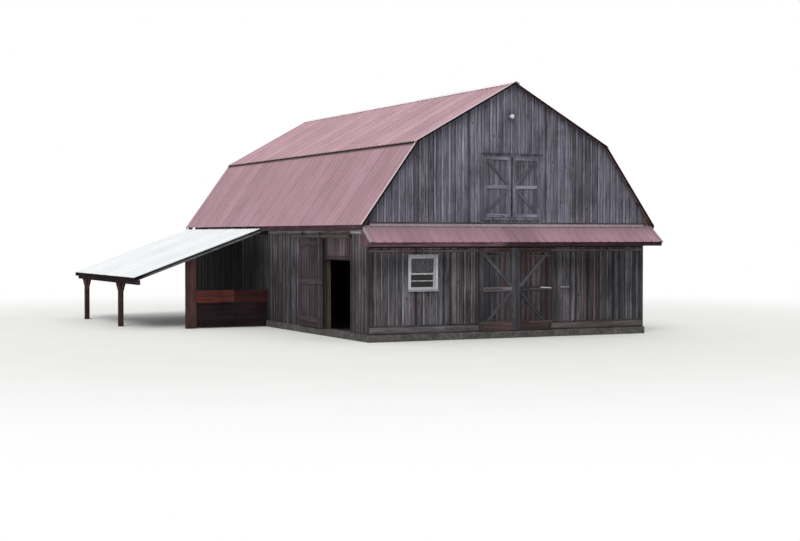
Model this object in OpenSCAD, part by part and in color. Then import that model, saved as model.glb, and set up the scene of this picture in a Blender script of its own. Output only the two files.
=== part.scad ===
// Gambrel barn with board walls, ribbed metal roofs, a pent roof over the front and an open lean-to.
// Millimetres. X runs to the right along the front, Y runs back, Z is up.
// The origin is under the middle of the front wall, on the outer face of its boards, at the lowest ground.

/* [Barn body] */
// Width over the wall boards
barn_w = 9150; // [8800:50:9600]
// Length over the wall boards
barn_l = 15700; // [14800:50:16600]
// Thickness of the wall boards with their cover strips
board_t = 30; // [22:1:36]
// Side of the square main posts
post = 150; // [130:10:170]
// Bays between the bents, along the length
bays = 5; // [4:1:5]
// Height of the footing above the lowest ground
footing_h = 200; // [150:10:260]
// How far the footing stands out past the boards
footing_out = 40; // [20:5:60]
// How far the footing reaches inside the boards
footing_in = 260; // [220:10:320]
// Height of the sill timbers
sill_h = 120; // [90:10:150]
// Height of a wall girt
girt_h = 100; // [80:10:120]
// Depth of a wall girt
girt_t = 60; // [40:5:80]

/* [Loft] */
// Top of the loft floor
loft_top = 3300; // [3250:10:3350]
// Thickness of the loft boards
loft_t = 30; // [25:1:40]
// Depth of the loft joists
joist_d = 150; // [120:10:160]
// Width of a loft joist
joist_w = 75; // [50:5:90]
// Number of loft joists
joists = 11; // [9:1:13]
// Depth of the tie beams
tie_d = 200; // [160:10:210]

/* [Roof] */
// Roof edge past the wall boards at the eaves
eave_over = 300; // [280:10:340]
// Roof edge past the boards at both gables
rake_over = 150; // [120:10:200]
// Height of the roof pans at the eave edge
eave_h = 3267; // [3240:1:3320]
// Horizontal run of the steep lower pitch
knee_in = 1730; // [1650:10:1800]
// Height of the roof pans at the knee
knee_h = 5650; // [5500:10:5750]
// Height of the roof pans at the ridge
ridge_h = 7400; // [7200:10:7600]
// Thickness of the metal sheet as drawn
sheet_t = 3; // [2:0.5:4]
// Height of a sheet rib
rib_h = 18; // [12:1:24]
// Spacing of the ribs
rib_pitch = 305; // [200:5:400]
// Width of a rib at its foot
rib_foot = 60; // [40:2:80]
// Width of a rib at its crest
rib_crest = 24; // [16:2:34]
// How far an upper sheet laps out over the knee
knee_lap = 100; // [60:5:140]
// Thickness of the roof battens
batten_t = 25; // [20:1:32]
// Width of the roof battens
batten_w = 90; // [70:5:120]
// Battens on a lower pitch
low_battens = 5; // [4:1:6]
// Battens on an upper pitch
up_battens = 6; // [5:1:7]
// Width of a rafter
rafter_w = 50; // [40:5:60]
// Depth of a rafter
rafter_d = 140; // [120:5:150]
// Number of rafter pairs
rafters = 14; // [12:1:16]
// Side of the beams under the knees
knee_beam = 150; // [130:10:170]
// Height of the wall plates
plate_h = 140; // [100:10:150]
// Thickness of the ridge board
ridge_t = 40; // [30:5:50]
// Width of one wing of the ridge cap
cap_w = 160; // [120:10:200]
// How far the ridge cap runs past the rakes
cap_over = 60; // [30:5:90]
// Thickness of the trim boards
trim_t = 25; // [20:1:30]
// Depth of the eave fascias
fascia_h = 150; // [130:5:160]
// Depth of the rake boards, square to the roof
rake_d = 50; // [45:5:110]
// How far the roof edge drips past a fascia
drip = 10; // [5:1:20]
// How deep the rafters are cut over a wall plate
plate_seat = 45; // [30:5:50]

/* [Pent roof] */
// How far the ends of the pent roof stay inside the eave edges
pent_in = 50; // [20:5:120]
// How far the pent roof stands out from the wall
pent_out = 650; // [560:10:720]
// Height of its sheet at the front edge
pent_low = 2783; // [2770:1:2800]
// Height of its sheet at the wall
pent_high = 3259; // [3200:1:3280]
// Depth of the pent fascia
pent_fascia_h = 135; // [110:5:140]
// Distance of the end brackets from the sides of the pent roof
bracket_in = 120; // [90:5:160]
// Width of the two legs of a bracket
bracket_leg = 70; // [60:5:75]
// Number of brackets under the pent roof
pent_brackets = 9; // [7:1:11]

/* [Front doors] */
// Middle of the front doorway, from the middle of the barn
door_x = 100; // [0:10:200]
// Width of the front doorway
door_w = 2420; // [2200:10:2600]
// Height of the front doorway above the footing
door_h = 2420; // [2200:10:2430]
// Thickness of the boards of a door leaf
leaf_board = 22; // [18:1:26]
// Thickness of the stiles, rails and braces on it
leaf_brace = 25; // [20:1:30]
// Width of stiles and rails
stile_w = 125; // [100:5:150]
// Height of the bottom rail of a front leaf
kick_h = 280; // [200:10:320]
// Width of the braces
brace_w = 105; // [80:5:130]
// Gap between the leaves
leaf_gap = 12; // [10:1:20]
// Gap at the hinge side and the top of a leaf
leaf_clear = 8; // [6:1:12]
// Gap under a leaf
leaf_foot = 20; // [15:1:40]
// How far the outer strap hinges stay from the ends of a leaf
strap_in = 230; // [180:10:300]
// Length of a strap hinge
strap_l = 760; // [600:10:900]
// Height of a strap hinge
strap_h = 50; // [40:2:60]
// Thickness of a strap hinge
strap_t = 6; // [5:0.5:8]
// Radius of a hinge pin
pin_r = 8; // [6:0.5:9]
// Radial play of a hinge pin in its eye
pin_play = 0.1; // [0.05:0.01:0.1]

/* [Loft doors] */
// Middle of the loft doors, from the middle of the barn
loft_x = -30; // [-150:10:100]
// Width of the loft doorway
loft_w = 1900; // [1700:10:2000]
// Height of the loft doorway
loft_h = 1770; // [1600:10:1850]
// Height of its foot
loft_foot = 3490; // [3450:10:3560]
// Width of the trim round it
loft_trim = 80; // [60:5:110]
// Width of the stiles and rails of its leaves
loft_stile = 100; // [80:5:120]
// Width of their braces
loft_brace = 85; // [70:5:100]
// Side of the stops behind the leaves
stop_w = 30; // [20:2:36]

/* [Window] */
// Middle of the window, from the middle of the barn
win_x = -2910; // [-3100:10:-2700]
// Width of the window opening
win_w = 850; // [750:10:900]
// Height of the window opening
win_h = 960; // [900:10:1000]
// Foot of the window opening
win_foot = 1440; // [1420:10:1480]
// Width of the casing that shows outside the opening
casing_w = 40; // [30:2:60]
// Thickness of the jambs in the opening
jamb_t = 30; // [20:2:36]
// Width of the sash bars round the glass
sash_w = 45; // [36:1:55]
// Thickness of one sash
sash_t = 32; // [26:1:36]
// Width of the bar across the lower sash
sash_bar = 28; // [20:2:34]
// Thickness of the glass
glass_t = 4; // [3:0.5:6]
// How far the sill reaches out past the casing
sill_out = 25; // [15:5:40]
// Height of the sill's front edge
sill_nose = 24; // [18:2:30]

/* [Side door] */
// Width of the doorway in the left wall
side_w = 1800; // [1500:10:1900]
// Height of the doorway above the footing
side_h = 2060; // [1950:10:2150]
// How far the sliding leaf overlaps the doorway on each side
side_lap = 50; // [30:5:80]
// Gap between the doorway and the parked leaf
park_gap = 50; // [30:5:80]
// Height of a ledger of the sliding leaf
ledger_h = 150; // [120:5:180]
// Thickness of its ledgers
ledger_t = 22; // [18:1:26]
// How far its hangers stay from its edges
hanger_in = 250; // [200:10:400]
// Length of a hanger strap on the leaf
hanger_l = 300; // [250:10:400]
// Height of the sliding leaf's top
side_leaf_top = 2885; // [2850:5:2890]
// Gap from the wall boards to the sliding leaf
side_gap = 51; // [45:1:60]
// Height of the rail's running edge
rail_z = 2985; // [2980:1:3000]
// Height of the rail bar
rail_h = 60; // [55:1:65]
// Thickness of the rail bar
rail_t = 8; // [6:1:10]
// How far the rail runs on past the parked leaf
rail_spare = 700; // [600:10:800]
// Height of the board that carries the rail
header_h = 130; // [120:5:140]
// Running radius of a hanger wheel
wheel_r = 40; // [34:1:44]

/* [Lean-to] */
// Distance of the lean-to's front edge behind the barn front
lean_y = 7950; // [7400:50:8400]
// How far the lean-to roof reaches from the barn wall
lean_out = 4460; // [4200:20:4700]
// Height of its sheet at the outer edge
lean_low = 1650; // [1600:10:1720]
// Height of its sheet where it would meet the wall
lean_high = 3290; // [3270:1:3300]
// Depth of its rafters
lean_rafter_d = 100; // [90:5:110]
// Number of its battens
lean_battens = 6; // [5:1:8]
// Side of its posts
lean_post = 150; // [100:5:180]
// Distance of its first outer post behind its front edge
post_first = 2200; // [1800:50:2600]
// Distance of its last outer post from its rear edge
post_last = 1100; // [800:50:1400]
// Distance of its outer beam's middle from the roof edge
beam_in = 160; // [140:5:200]
// Width of its outer beam
lean_beam_w = 100; // [80:5:120]
// Number of its outer posts
lean_posts = 2; // [2:1:4]
// How far the knee braces reach from a post and from the beam
knee_reach = 450; // [300:10:500]
// Width of a knee brace along the post
knee_cut = 120; // [90:5:150]
// Thickness of a knee brace
knee_t = 60; // [40:5:80]
// Height of its eave beam
lean_beam_h = 150; // [120:5:180]
// Depth of the fascia on its rafter tails
lean_fascia_h = 120; // [100:5:130]
// Distance of the stall pier from the roof edge
pier_in = 1710; // [1600:10:1900]
// Width of the stall pier
pier_w = 330; // [250:10:360]
// Height of a stall board
stall_board_h = 185; // [150:5:200]
// Gap between the stall boards
stall_gap = 14; // [8:1:20]
// Number of stall boards
stall_boards = 6; // [5:1:6]

/* [Gable lamp] */
// Distance of the lamp below the ridge
lamp_drop = 990; // [850:10:1100]
// Place of the lamp, from the middle of the barn
lamp_x = -70; // [-100:5:100]
// Radius of the lamp's globe
lamp_r = 66; // [60:2:100]

/* [Hidden] */
$fn = 32;

half_w = barn_w / 2;
eave_x = half_w + eave_over;
knee_x = eave_x - knee_in;
low_a = atan2(knee_h - eave_h, knee_in);
up_a = atan2(ridge_h - knee_h, knee_x);
low_len = (knee_h - eave_h) / sin(low_a);
up_len = (ridge_h - knee_h) / sin(up_a);
roof_l = barn_l + 2 * rake_over;
batten_d = sheet_t + batten_t;           // roof line down to the rafter tops
rafter_foot = batten_d + rafter_d;       // roof line down to the rafter undersides
seat = 0.3;                              // gap where a sloping piece seats

// Height of a line that lies d below the pans, over the distance x from the middle
function low_z(x, d) = eave_h + (eave_x - x) * tan(low_a) - d / cos(low_a);
function up_z(x, d) = ridge_h - x * tan(up_a) - d / cos(up_a);
// Where the two lines that lie d below the pans meet at the knee
function knee_at(d) = [knee_x, knee_h]
    - d * [sin(low_a) + sin(up_a), cos(low_a) + cos(up_a)] / (1 + cos(low_a - up_a));

inner_x = half_w - board_t;              // inner face of the side boards
clear_x = inner_x - post;                // inner face of the side posts
bay_l = (barn_l - 2 * board_t - post) / bays;
function bent_y(i) = board_t + post / 2 + i * bay_l;
function rafter_y(i) = board_t + i * (barn_l - 2 * board_t - rafter_w) / (rafters - 1);
plate_top = low_z(inner_x, rafter_foot) + plate_seat;
wall_top = low_z(half_w, rafter_foot);
tie_top = loft_top - loft_t - joist_d;
tie_foot = tie_top - tie_d;
knee_in_pt = knee_at(rafter_foot);
knee_notch = [40, 30];                   // how far a knee beam is let into the rafters
knee_beam_x = knee_in_pt[0] + knee_notch[0] - knee_beam;
knee_beam_z = knee_in_pt[1] + knee_notch[1] - knee_beam;
tail_x = eave_x - drip - trim_t;         // plumb cut of the rafter tails
sheet_gap = 4;                           // from a fascia's top edge to the sheet over it
fascia_top = low_z(eave_x - drip, sheet_t) - sheet_gap;
fascia_foot = fascia_top - fascia_h;

door_left_x = door_x - door_w / 2;
door_right_x = door_x + door_w / 2;
door_top = footing_h + door_h;
leaf_t = leaf_board + leaf_brace;
leaf_rest = 6;                           // from a closed leaf to the posts behind it
door_lap = 25;                           // how far the door posts show in the doorway
leaf_back = board_t - leaf_rest;         // inner face of a closed leaf
leaf_front = leaf_back - leaf_t;
leaf_w = (door_w - leaf_gap) / 2 - leaf_clear;
leaf_z = footing_h + leaf_foot;
leaf_h = door_top - leaf_clear - leaf_z;
eye_wall = 6;
eye_r = pin_r + eye_wall;
pin_y = leaf_front - eye_r;
strap_zs = [leaf_z + strap_in, leaf_z + leaf_h / 2, leaf_z + leaf_h - strap_in];
pintle_h = 26;                           // height of a pintle's shoulder under its eye
pin_top = 10;                            // how far a pin stands out over its eye
pin_gap = 2;                             // from a pintle's shoulder up to the eye

side_jamb = 28;                          // bearing of the side lintel before the second post
side_end = bent_y(1) - post / 2 - side_jamb;   // rear edge of the side doorway
side_start = side_end - side_w;
side_top = footing_h + side_h;
side_leaf_w = side_w + 2 * side_lap;
side_leaf_y = side_end + park_gap;       // front edge of the parked leaf
side_leaf_t = leaf_board + ledger_t;
side_leaf_x = -half_w - side_gap;        // inner face of the leaf
rail_x = side_leaf_x - side_leaf_t / 2;
header_t = 30;                           // thickness of the board that carries the rail
header_low = 30;                         // how far it reaches below the rail
track_end_gap = 20;                      // from the closed leaf's edge to the rail's front end
track_start = side_start - side_lap - track_end_gap;
track_end = side_leaf_y + side_leaf_w + rail_spare;

lean_x = half_w + lean_out;
lean_a = atan2(lean_high - lean_low, lean_out);
lean_head_x = tail_x + 5;                // upper end of the lean-to sheet, clear of the rafter tails
lean_end = 20;                           // from its sheet's edges to the timbers under it
lean_l = barn_l + rake_over - lean_y;
lean_foot = batten_d + lean_rafter_d;
lean_tail = lean_x - 3 * drip;           // plumb cut of its rafter tails
function lean_z(x, d) = lean_low + (lean_x - x) * tan(lean_a) - d / cos(lean_a);
lean_beam_x = lean_x - beam_in;          // middle of the outer beam
lean_notch = 15;                         // how far beam and ledger are let into the rafters
wall_ledger = [50, 150];                 // thickness and height of the ledger on the barn wall
lean_beam_top = lean_z(lean_beam_x + lean_beam_w / 2, lean_foot) + lean_notch;
pier_x = lean_x - pier_in;               // outer face of the stall pier

pent_w = 2 * (eave_x - pent_in);
pent_a = atan2(pent_high - pent_low, pent_out);
function pent_z(y, d) = pent_low + (y + pent_out) * tan(pent_a) - d / cos(pent_a);
pent_front = -pent_out + 3 * drip;       // front face of the pent fascia
pent_fascia_top = pent_z(pent_front, sheet_t) - sheet_gap / 2;
pent_foot = pent_fascia_top - pent_fascia_h;

board_grey = "#6d6863";
timber = "#6b5846";
roof_red = "#b07884";
paint_white = "#e6e6e2";
iron = "#3a3836";
trim_red = "#6e4038";

// An upright outline in X and Z, drawn from y to y + t
module across(y, t) {
    translate([0, y + t, 0]) rotate([90, 0, 0]) linear_extrude(t) children();
}

// A box between two corners
module block(a, b) {
    translate(a) cube(b - a);
}

module both_sides() {
    children();
    mirror([1, 0, 0]) children();
}

function rib(c) = [[c - rib_foot / 2, 0], [c - rib_crest / 2, rib_h],
                   [c + rib_crest / 2, rib_h], [c + rib_foot / 2, 0]];
function sheet_line(l, n) = [[0, 0], for (i = [0:n]) each rib((l - n * rib_pitch) / 2 + i * rib_pitch), [l, 0]];

// Ribbed sheet: l wide along Y, its ribs run up X for the length run, its pans lie at Z 0
module ribbed_sheet(l, run) {
    top = sheet_line(l, floor((l - 1.6 * rib_foot) / rib_pitch));
    under = [for (i = [len(top) - 1:-1:0]) top[i] - [0, sheet_t]];
    rotate([90, 0, 90]) linear_extrude(run) polygon(concat(top, under));
}

// Puts a sheet or batten that starts at x on a left-hand pitch of angle a
module on_pitch(x, z, a) {
    translate([-x, -rake_over, z]) rotate([0, -a, 0]) children();
}

ridge_gap = 10;                          // from the ridge to the upper sheets' ends
lower_cut = (sheet_t + cos(up_a) + rib_h * cos(low_a - up_a)) / sin(low_a - up_a);

module lower_sheet() {
    color(roof_red) on_pitch(eave_x, eave_h, low_a) ribbed_sheet(roof_l, low_len - lower_cut);
}

module upper_sheet() {
    color(roof_red) on_pitch(knee_x, knee_h, up_a)
        translate([-knee_lap, 0, 0]) ribbed_sheet(roof_l, up_len + knee_lap - ridge_gap);
}

module roof_lower_left() lower_sheet();
module roof_lower_right() mirror([1, 0, 0]) lower_sheet();
module roof_upper_left() upper_sheet();
module roof_upper_right() mirror([1, 0, 0]) upper_sheet();

// Folded cap on the rib crests
module ridge_cap() {
    crest = -rib_h - seat;
    outer = crest - sheet_t;
    edge_x = cap_w * cos(up_a);
    color(roof_red) across(-rake_over - cap_over, roof_l + 2 * cap_over)
        polygon([[-edge_x, up_z(edge_x, outer)], [0, up_z(0, outer)], [edge_x, up_z(edge_x, outer)],
                 [edge_x, up_z(edge_x, crest)], [0, up_z(0, crest)], [-edge_x, up_z(edge_x, crest)]]);
}

// A run of battens up one pitch, clear of the rake boards
module batten_run(n, first, last) {
    for (i = [0:n - 1])
        translate([first + i * (last - first) / (n - 1) - batten_w / 2, trim_t, -batten_d])
            cube([batten_w, roof_l - 2 * trim_t, batten_t]);
}

module roof_battens() {
    low_in = 110;
    knee_in_by = 40;
    ridge_in = 90;
    color(timber) both_sides() {
        on_pitch(eave_x, eave_h, low_a) batten_run(low_battens, low_in, low_len - low_in);
        on_pitch(knee_x, knee_h, up_a) batten_run(up_battens, knee_in_by, up_len - ridge_in);
    }
}

module knee_beams() {
    both_sides() translate([knee_beam_x, board_t, knee_beam_z])
        cube([knee_beam, barn_l - 2 * board_t, knee_beam]);
}

module wall_plates() {
    both_sides() translate([clear_x, board_t, plate_top - plate_h])
        cube([post, barn_l - 2 * board_t, plate_h]);
}

module ridge_board() {
    below = 40;                          // how far it reaches down past the rafters
    top = up_z(ridge_t / 2, batten_d);
    block([-ridge_t / 2, board_t, top - rafter_d - below], [ridge_t / 2, barn_l - board_t, top]);
}

// Long timbers: wall plates, beams under the knees, ridge board
module roof_beams() {
    color(timber) {
        wall_plates();
        knee_beams();
        ridge_board();
    }
}

// Steep rafters with plumb and level cuts at their tails, notched over the plates and knee beams
module lower_rafters() {
    outer_knee = knee_at(batten_d);
    level_x = eave_x - (fascia_foot - low_z(eave_x, rafter_foot)) / tan(low_a);
    color(timber) difference() {
        both_sides() for (i = [0:rafters - 1]) across(rafter_y(i), rafter_w)
            polygon([[tail_x, fascia_foot], [tail_x, low_z(tail_x, batten_d)], outer_knee,
                     knee_in_pt, [level_x, fascia_foot]]);
        wall_plates();
        knee_beams();
    }
}

// Flatter rafters from the knees to the ridge board
module upper_rafters() {
    color(timber) difference() {
        both_sides() for (i = [0:rafters - 1]) across(rafter_y(i), rafter_w)
            polygon([knee_at(batten_d), [ridge_t / 2, up_z(ridge_t / 2, batten_d)],
                     [ridge_t / 2, up_z(ridge_t / 2, rafter_foot)], knee_in_pt]);
        knee_beams();
    }
}

// Boards that close the roof edge along both gables
module rake_boards() {
    top = sheet_t + seat;
    foot = top + rake_d;
    end_x = eave_x - drip;
    pent_gap = 5;
    level_z = pent_z(trim_t - rake_over, -rib_h) + pent_gap;
    level_x = eave_x - (level_z - low_z(eave_x, foot)) / tan(low_a);
    color(trim_red) both_sides() for (y = [-rake_over, barn_l + rake_over - trim_t]) across(y, trim_t)
        polygon([[end_x, low_z(end_x, top)], knee_at(top), [0, up_z(0, top)],
                 [0, up_z(0, foot)], knee_at(foot), [level_x, level_z], [end_x, level_z]]);
}

// Fascia boards on the rafter tails, the left one as far back as the lean-to, and the lean-to's own
module eave_fascias() {
    y0 = -rake_over + trim_t;
    lean_top = lean_z(lean_tail + trim_t, sheet_t) - sheet_gap;
    color(trim_red) {
        block([tail_x, y0, fascia_foot], [tail_x + trim_t, barn_l + rake_over - trim_t, fascia_top]);
        block([-tail_x - trim_t, y0, fascia_foot], [-tail_x, lean_y, fascia_top]);
        block([-lean_tail - trim_t, lean_y + lean_end, lean_top - lean_fascia_h],
              [-lean_tail, lean_y + lean_l - lean_end, lean_top]);
    }
}

module footing() {
    out = [footing_out, footing_out, 0];
    in = [-footing_in, -footing_in, 1];
    color("#8b8680") difference() {
        block([-half_w, 0, 0] - out, [half_w, barn_l, footing_h] + out);
        block([-half_w, 0, 0] - in, [half_w, barn_l, footing_h] + in);
    }
}

// Timbers of height h and depth t between the side posts, left ones clear of the side doorway
module side_rails(z, h, t) {
    for (i = [0:bays - 1]) {
        y0 = bent_y(i) + post / 2;
        y1 = bent_y(i + 1) - post / 2;
        left_end = i == 0 ? side_start - girt_t : y1;
        block([inner_x - t, y0, z], [inner_x, y1, z + h]);
        block([-inner_x, y0, z], [-inner_x + t, left_end, z + h]);
    }
}

// The same between the posts of the two ends
module end_rails(z, h, t) {
    block([-clear_x, board_t, z], [door_left_x - post + door_lap, board_t + t, z + h]);
    block([door_right_x + post - door_lap, board_t, z], [clear_x, board_t + t, z + h]);
    for (s = [-1, 1])
        block([s > 0 ? post / 2 : -clear_x, barn_l - board_t - t, z],
              [s > 0 ? clear_x : -post / 2, barn_l - board_t, z + h]);
}

module sill_beams() {
    color(timber) {
        side_rails(footing_h, sill_h, post);
        end_rails(footing_h, sill_h, post);
    }
}

module wall_girts() {
    gap = casing_w + 10;                 // from the window opening to a girt
    color(timber) for (z = [win_foot - gap - girt_h, win_foot + win_h + gap]) {
        side_rails(z, girt_h, girt_t);
        end_rails(z, girt_h, girt_t);
    }
}

module wall_posts() {
    color(timber) both_sides() for (i = [0:bays])
        translate([clear_x, bent_y(i) - post / 2, footing_h])
            cube([post, post, plate_top - plate_h - footing_h]);
}

// Posts under the middle of the tie beams, the front doorway left free
module centre_posts() {
    color(timber) for (i = [1:bays]) {
        foot = i == bays ? footing_h : 0;
        translate([-post / 2, bent_y(i) - post / 2, foot]) cube([post, post, tie_foot - foot]);
    }
}

module tie_beams() {
    color(timber) for (i = [0:bays])
        block([-clear_x, bent_y(i) - post / 2, tie_foot], [clear_x, bent_y(i) + post / 2, tie_top]);
}

module loft_joists() {
    reach = clear_x - joist_w;
    color(timber) for (i = [0:joists - 1])
        translate([-reach + i * 2 * reach / (joists - 1) - joist_w / 2, board_t, tie_top])
            cube([joist_w, barn_l - 2 * board_t, joist_d]);
}

module loft_floor() {
    color("#7d6a55")
        block([-clear_x, board_t, loft_top - loft_t], [clear_x, barn_l - board_t, loft_top]);
}

// Posts on the loft floor under the knee beams
module purlin_posts() {
    color(timber) both_sides() for (i = [0:bays])
        translate([knee_beam_x, bent_y(i) - post / 2, loft_top])
            cube([knee_beam, post, knee_beam_z - loft_top]);
}

// Studs beside the loft doorway, and the same pair in the rear gable
module gable_studs() {
    stud = 100;
    for (y = [board_t, barn_l - board_t - stud], s = [-1, 1]) {
        x = loft_x + s * (loft_w + stud) / 2;
        top = up_z(abs(x) + stud / 2, rafter_foot) - seat;
        color(timber) block([x - stud / 2, y, loft_top], [x + stud / 2, y + stud, top]);
    }
}

// Outline of an end wall under the battens
module gable_outline() {
    under = batten_d + seat;
    k = knee_at(under);
    side = low_z(half_w, under);
    polygon([[-half_w, footing_h], [-half_w, side], [-k[0], k[1]], [0, up_z(0, under)],
             k, [half_w, side], [half_w, footing_h]]);
}

module front_wall_left() {
    color(board_grey) difference() {
        block([-half_w, 0, footing_h], [door_left_x, board_t, door_top]);
        block([win_x - win_w / 2, -1, win_foot], [win_x + win_w / 2, board_t + 1, win_foot + win_h]);
    }
}

module front_wall_right() {
    color(board_grey) block([door_right_x, 0, footing_h], [half_w, board_t, door_top]);
}

// Everything over the doorway, with the loft doorway cut through
module front_gable() {
    color(board_grey) difference() {
        across(0, board_t) gable_outline();
        block([-half_w - 1, -1, 0], [half_w + 1, board_t + 1, door_top]);
        block([loft_x - loft_w / 2, -1, loft_foot], [loft_x + loft_w / 2, board_t + 1, loft_foot + loft_h]);
    }
}

module rear_wall() {
    color(board_grey) across(barn_l - board_t, board_t) gable_outline();
}

module right_wall() {
    color(board_grey) block([inner_x, board_t, footing_h], [half_w, barn_l - board_t, wall_top]);
}

module left_wall_front() {
    color(board_grey) block([-half_w, board_t, footing_h], [-inner_x, side_start, wall_top]);
}

module left_wall_rear() {
    color(board_grey) block([-half_w, side_end, footing_h], [-inner_x, barn_l - board_t, wall_top]);
}

module side_transom() {
    color(trim_red) block([-half_w, side_start, side_top], [-inner_x, side_end, wall_top]);
}

// Stud and lintel of the side doorway
module side_door_frame() {
    color(timber) {
        block([-inner_x, side_start - girt_t, footing_h], [-inner_x + girt_t, side_start, plate_top - plate_h]);
        block([-inner_x, side_start, side_top], [-inner_x + girt_t, side_end + side_jamb, side_top + girt_h]);
    }
}

// Triangular brackets on the wall that carry the pent roof, each open in the middle
module pent_brackets_set() {
    front = pent_front + trim_t;
    foot = pent_foot + 6;
    top = sheet_t + seat;
    leg = bracket_leg;
    hole_z = foot + leg;
    hole_y = (hole_z - pent_z(0, top + leg)) / tan(pent_a);
    color(timber) for (i = [0:pent_brackets - 1]) {
        x = -pent_w / 2 + bracket_in + i * (pent_w - 2 * bracket_in - rafter_w) / (pent_brackets - 1);
        translate([x, 0, 0]) rotate([90, 0, 90]) linear_extrude(rafter_w) difference() {
            polygon([[front, foot], [front, pent_z(front, top)], [0, pent_z(0, top)], [0, foot]]);
            polygon([[hole_y, hole_z], [-leg, pent_z(-leg, top + leg)], [-leg, hole_z]]);
        }
    }
}

module pent_roof() {
    color(roof_red) translate([pent_w / 2, -pent_out, pent_low]) rotate([pent_a, 0, 0]) rotate([0, 0, 90])
        ribbed_sheet(pent_w, pent_out / cos(pent_a) - sheet_t);
}

// Fascia across the front of the pent roof and the boards that close its ends
module pent_fascia() {
    color(trim_red) {
        block([-pent_w / 2 + drip, pent_front, pent_foot],
              [pent_w / 2 - drip, pent_front + trim_t, pent_fascia_top]);
        both_sides() translate([pent_w / 2 - drip - trim_t, 0, 0]) rotate([90, 0, 90]) linear_extrude(trim_t)
            polygon([[pent_front + trim_t, pent_foot],
                     [pent_front + trim_t, pent_z(pent_front + trim_t, sheet_t + seat)],
                     [0, pent_z(0, sheet_t + seat)], [0, pent_foot]]);
    }
}

// Posts and head of the front doorway
module door_posts() {
    head_low = 20;                       // how far the head shows in the doorway
    x0 = door_left_x + door_lap;
    x1 = door_right_x - door_lap;
    color(timber) {
        block([x0 - post, board_t, footing_h], [x0, board_t + post, tie_foot]);
        block([x1, board_t, footing_h], [x1 + post, board_t + post, tie_foot]);
        block([x0, board_t, door_top - head_low], [x1, board_t + post, door_top - head_low + post]);
    }
}

// Bar of width w between two points of a door's face
module brace(p, q, w) {
    d = q - p;
    translate(p) rotate(atan2(d[1], d[0])) translate([0, -w / 2]) square([norm(d), w]);
}

// Face of one leaf, hung at x 0: stiles, three rails, the lowest one of height low, and braces that run
// to the meeting stile at the middle rail
module leaf_face(w, h, stile, bar, low) {
    mid = h / 2;
    for (x = [0, w - stile]) translate([x, 0]) square([stile, h]);
    square([w, low]);
    for (y = [mid - stile / 2, h - stile]) translate([0, y]) square([w, stile]);
    intersection() {
        square([w, h]);
        union() {
            brace([stile / 2, stile / 2], [w - stile / 2, mid], bar);
            brace([stile / 2, h - stile / 2], [w - stile / 2, mid], bar);
        }
    }
}

// One braced leaf: boards at the back, frame in front; its hinge edge at x 0 and its front face at y 0
module leaf(w, h, stile, bar, low) {
    translate([0, leaf_brace, 0]) {
        cube([w, leaf_board, h]);
        rotate([90, 0, 0]) linear_extrude(leaf_brace) leaf_face(w, h, stile, bar, low);
    }
}

module door_left() {
    color(board_grey) translate([door_left_x + leaf_clear, leaf_front, leaf_z])
        leaf(leaf_w, leaf_h, stile_w, brace_w, kick_h);
}

module door_right() {
    color(board_grey) translate([door_right_x - leaf_clear, leaf_front, leaf_z]) mirror([1, 0, 0])
        leaf(leaf_w, leaf_h, stile_w, brace_w, kick_h);
}

// Strap hinges with rolled eyes; the pin stands on x 0, y 0
module straps() {
    for (z = strap_zs) translate([0, 0, z - strap_h / 2]) difference() {
        union() {
            cylinder(h = strap_h, r = eye_r);
            translate([0, eye_r - strap_t, 0]) cube([strap_l, strap_t, strap_h]);
        }
        translate([0, 0, -1]) cylinder(h = strap_h + 2, r = pin_r + pin_play);
    }
}

module straps_left() color(iron) translate([door_left_x, pin_y, 0]) straps();
module straps_right() color(iron) translate([door_right_x, pin_y, 0]) mirror([1, 0, 0]) straps();

// Pin on a square shank that is driven into the wall boards and the post behind
module pintles() {
    shank_r = eye_r - 1;
    for (z = strap_zs) translate([0, 0, z - strap_h / 2]) {
        translate([0, 0, -pin_gap]) cylinder(h = pin_gap + strap_h + pin_top, r = pin_r);
        translate([0, 0, -pintle_h]) cylinder(h = pintle_h - pin_gap, r = shank_r);
        translate([-shank_r, 0, -pintle_h]) cube([2 * shank_r - pin_r, -pin_y, pintle_h - 2 * pin_gap]);
    }
}

module hinge_pintles() {
    color(iron) {
        translate([door_left_x, pin_y, 0]) pintles();
        translate([door_right_x, pin_y, 0]) mirror([1, 0, 0]) pintles();
    }
}

loft_leaf_w = (loft_w - leaf_gap) / 2 - leaf_clear;

module loft_doors() {
    h = loft_h - 2 * leaf_clear;
    color(board_grey) for (s = [-1, 1])
        translate([loft_x + s * (loft_w / 2 - leaf_clear), board_t - leaf_t, loft_foot + leaf_clear])
            mirror([s > 0 ? 1 : 0, 0, 0]) leaf(loft_leaf_w, h, loft_stile, loft_brace, loft_stile);
}

// Trim boards outside the loft doorway and the stops behind its leaves
module loft_door_trim() {
    x0 = loft_x - loft_w / 2;
    x1 = loft_x + loft_w / 2;
    z1 = loft_foot + loft_h;
    color(board_grey) {
        difference() {
            block([x0 - loft_trim, -trim_t, loft_foot - loft_trim], [x1 + loft_trim, 0, z1 + loft_trim]);
            block([x0, -trim_t - 1, loft_foot], [x1, 1, z1]);
        }
        difference() {
            block([x0, board_t, loft_foot], [x1, board_t + stop_w, z1]);
            block([x0 + stop_w, board_t - 1, loft_foot + stop_w],
                  [x1 - stop_w, board_t + stop_w + 1, z1 - stop_w]);
        }
    }
}

win_x0 = win_x - win_w / 2;
win_z1 = win_foot + win_h;
sash_y = 18;                             // face of the upper sash behind the casing
pane_w = win_w - 2 * jamb_t;
meet_z = win_foot + 0.47 * win_h;        // middle of the meeting rails

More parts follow.
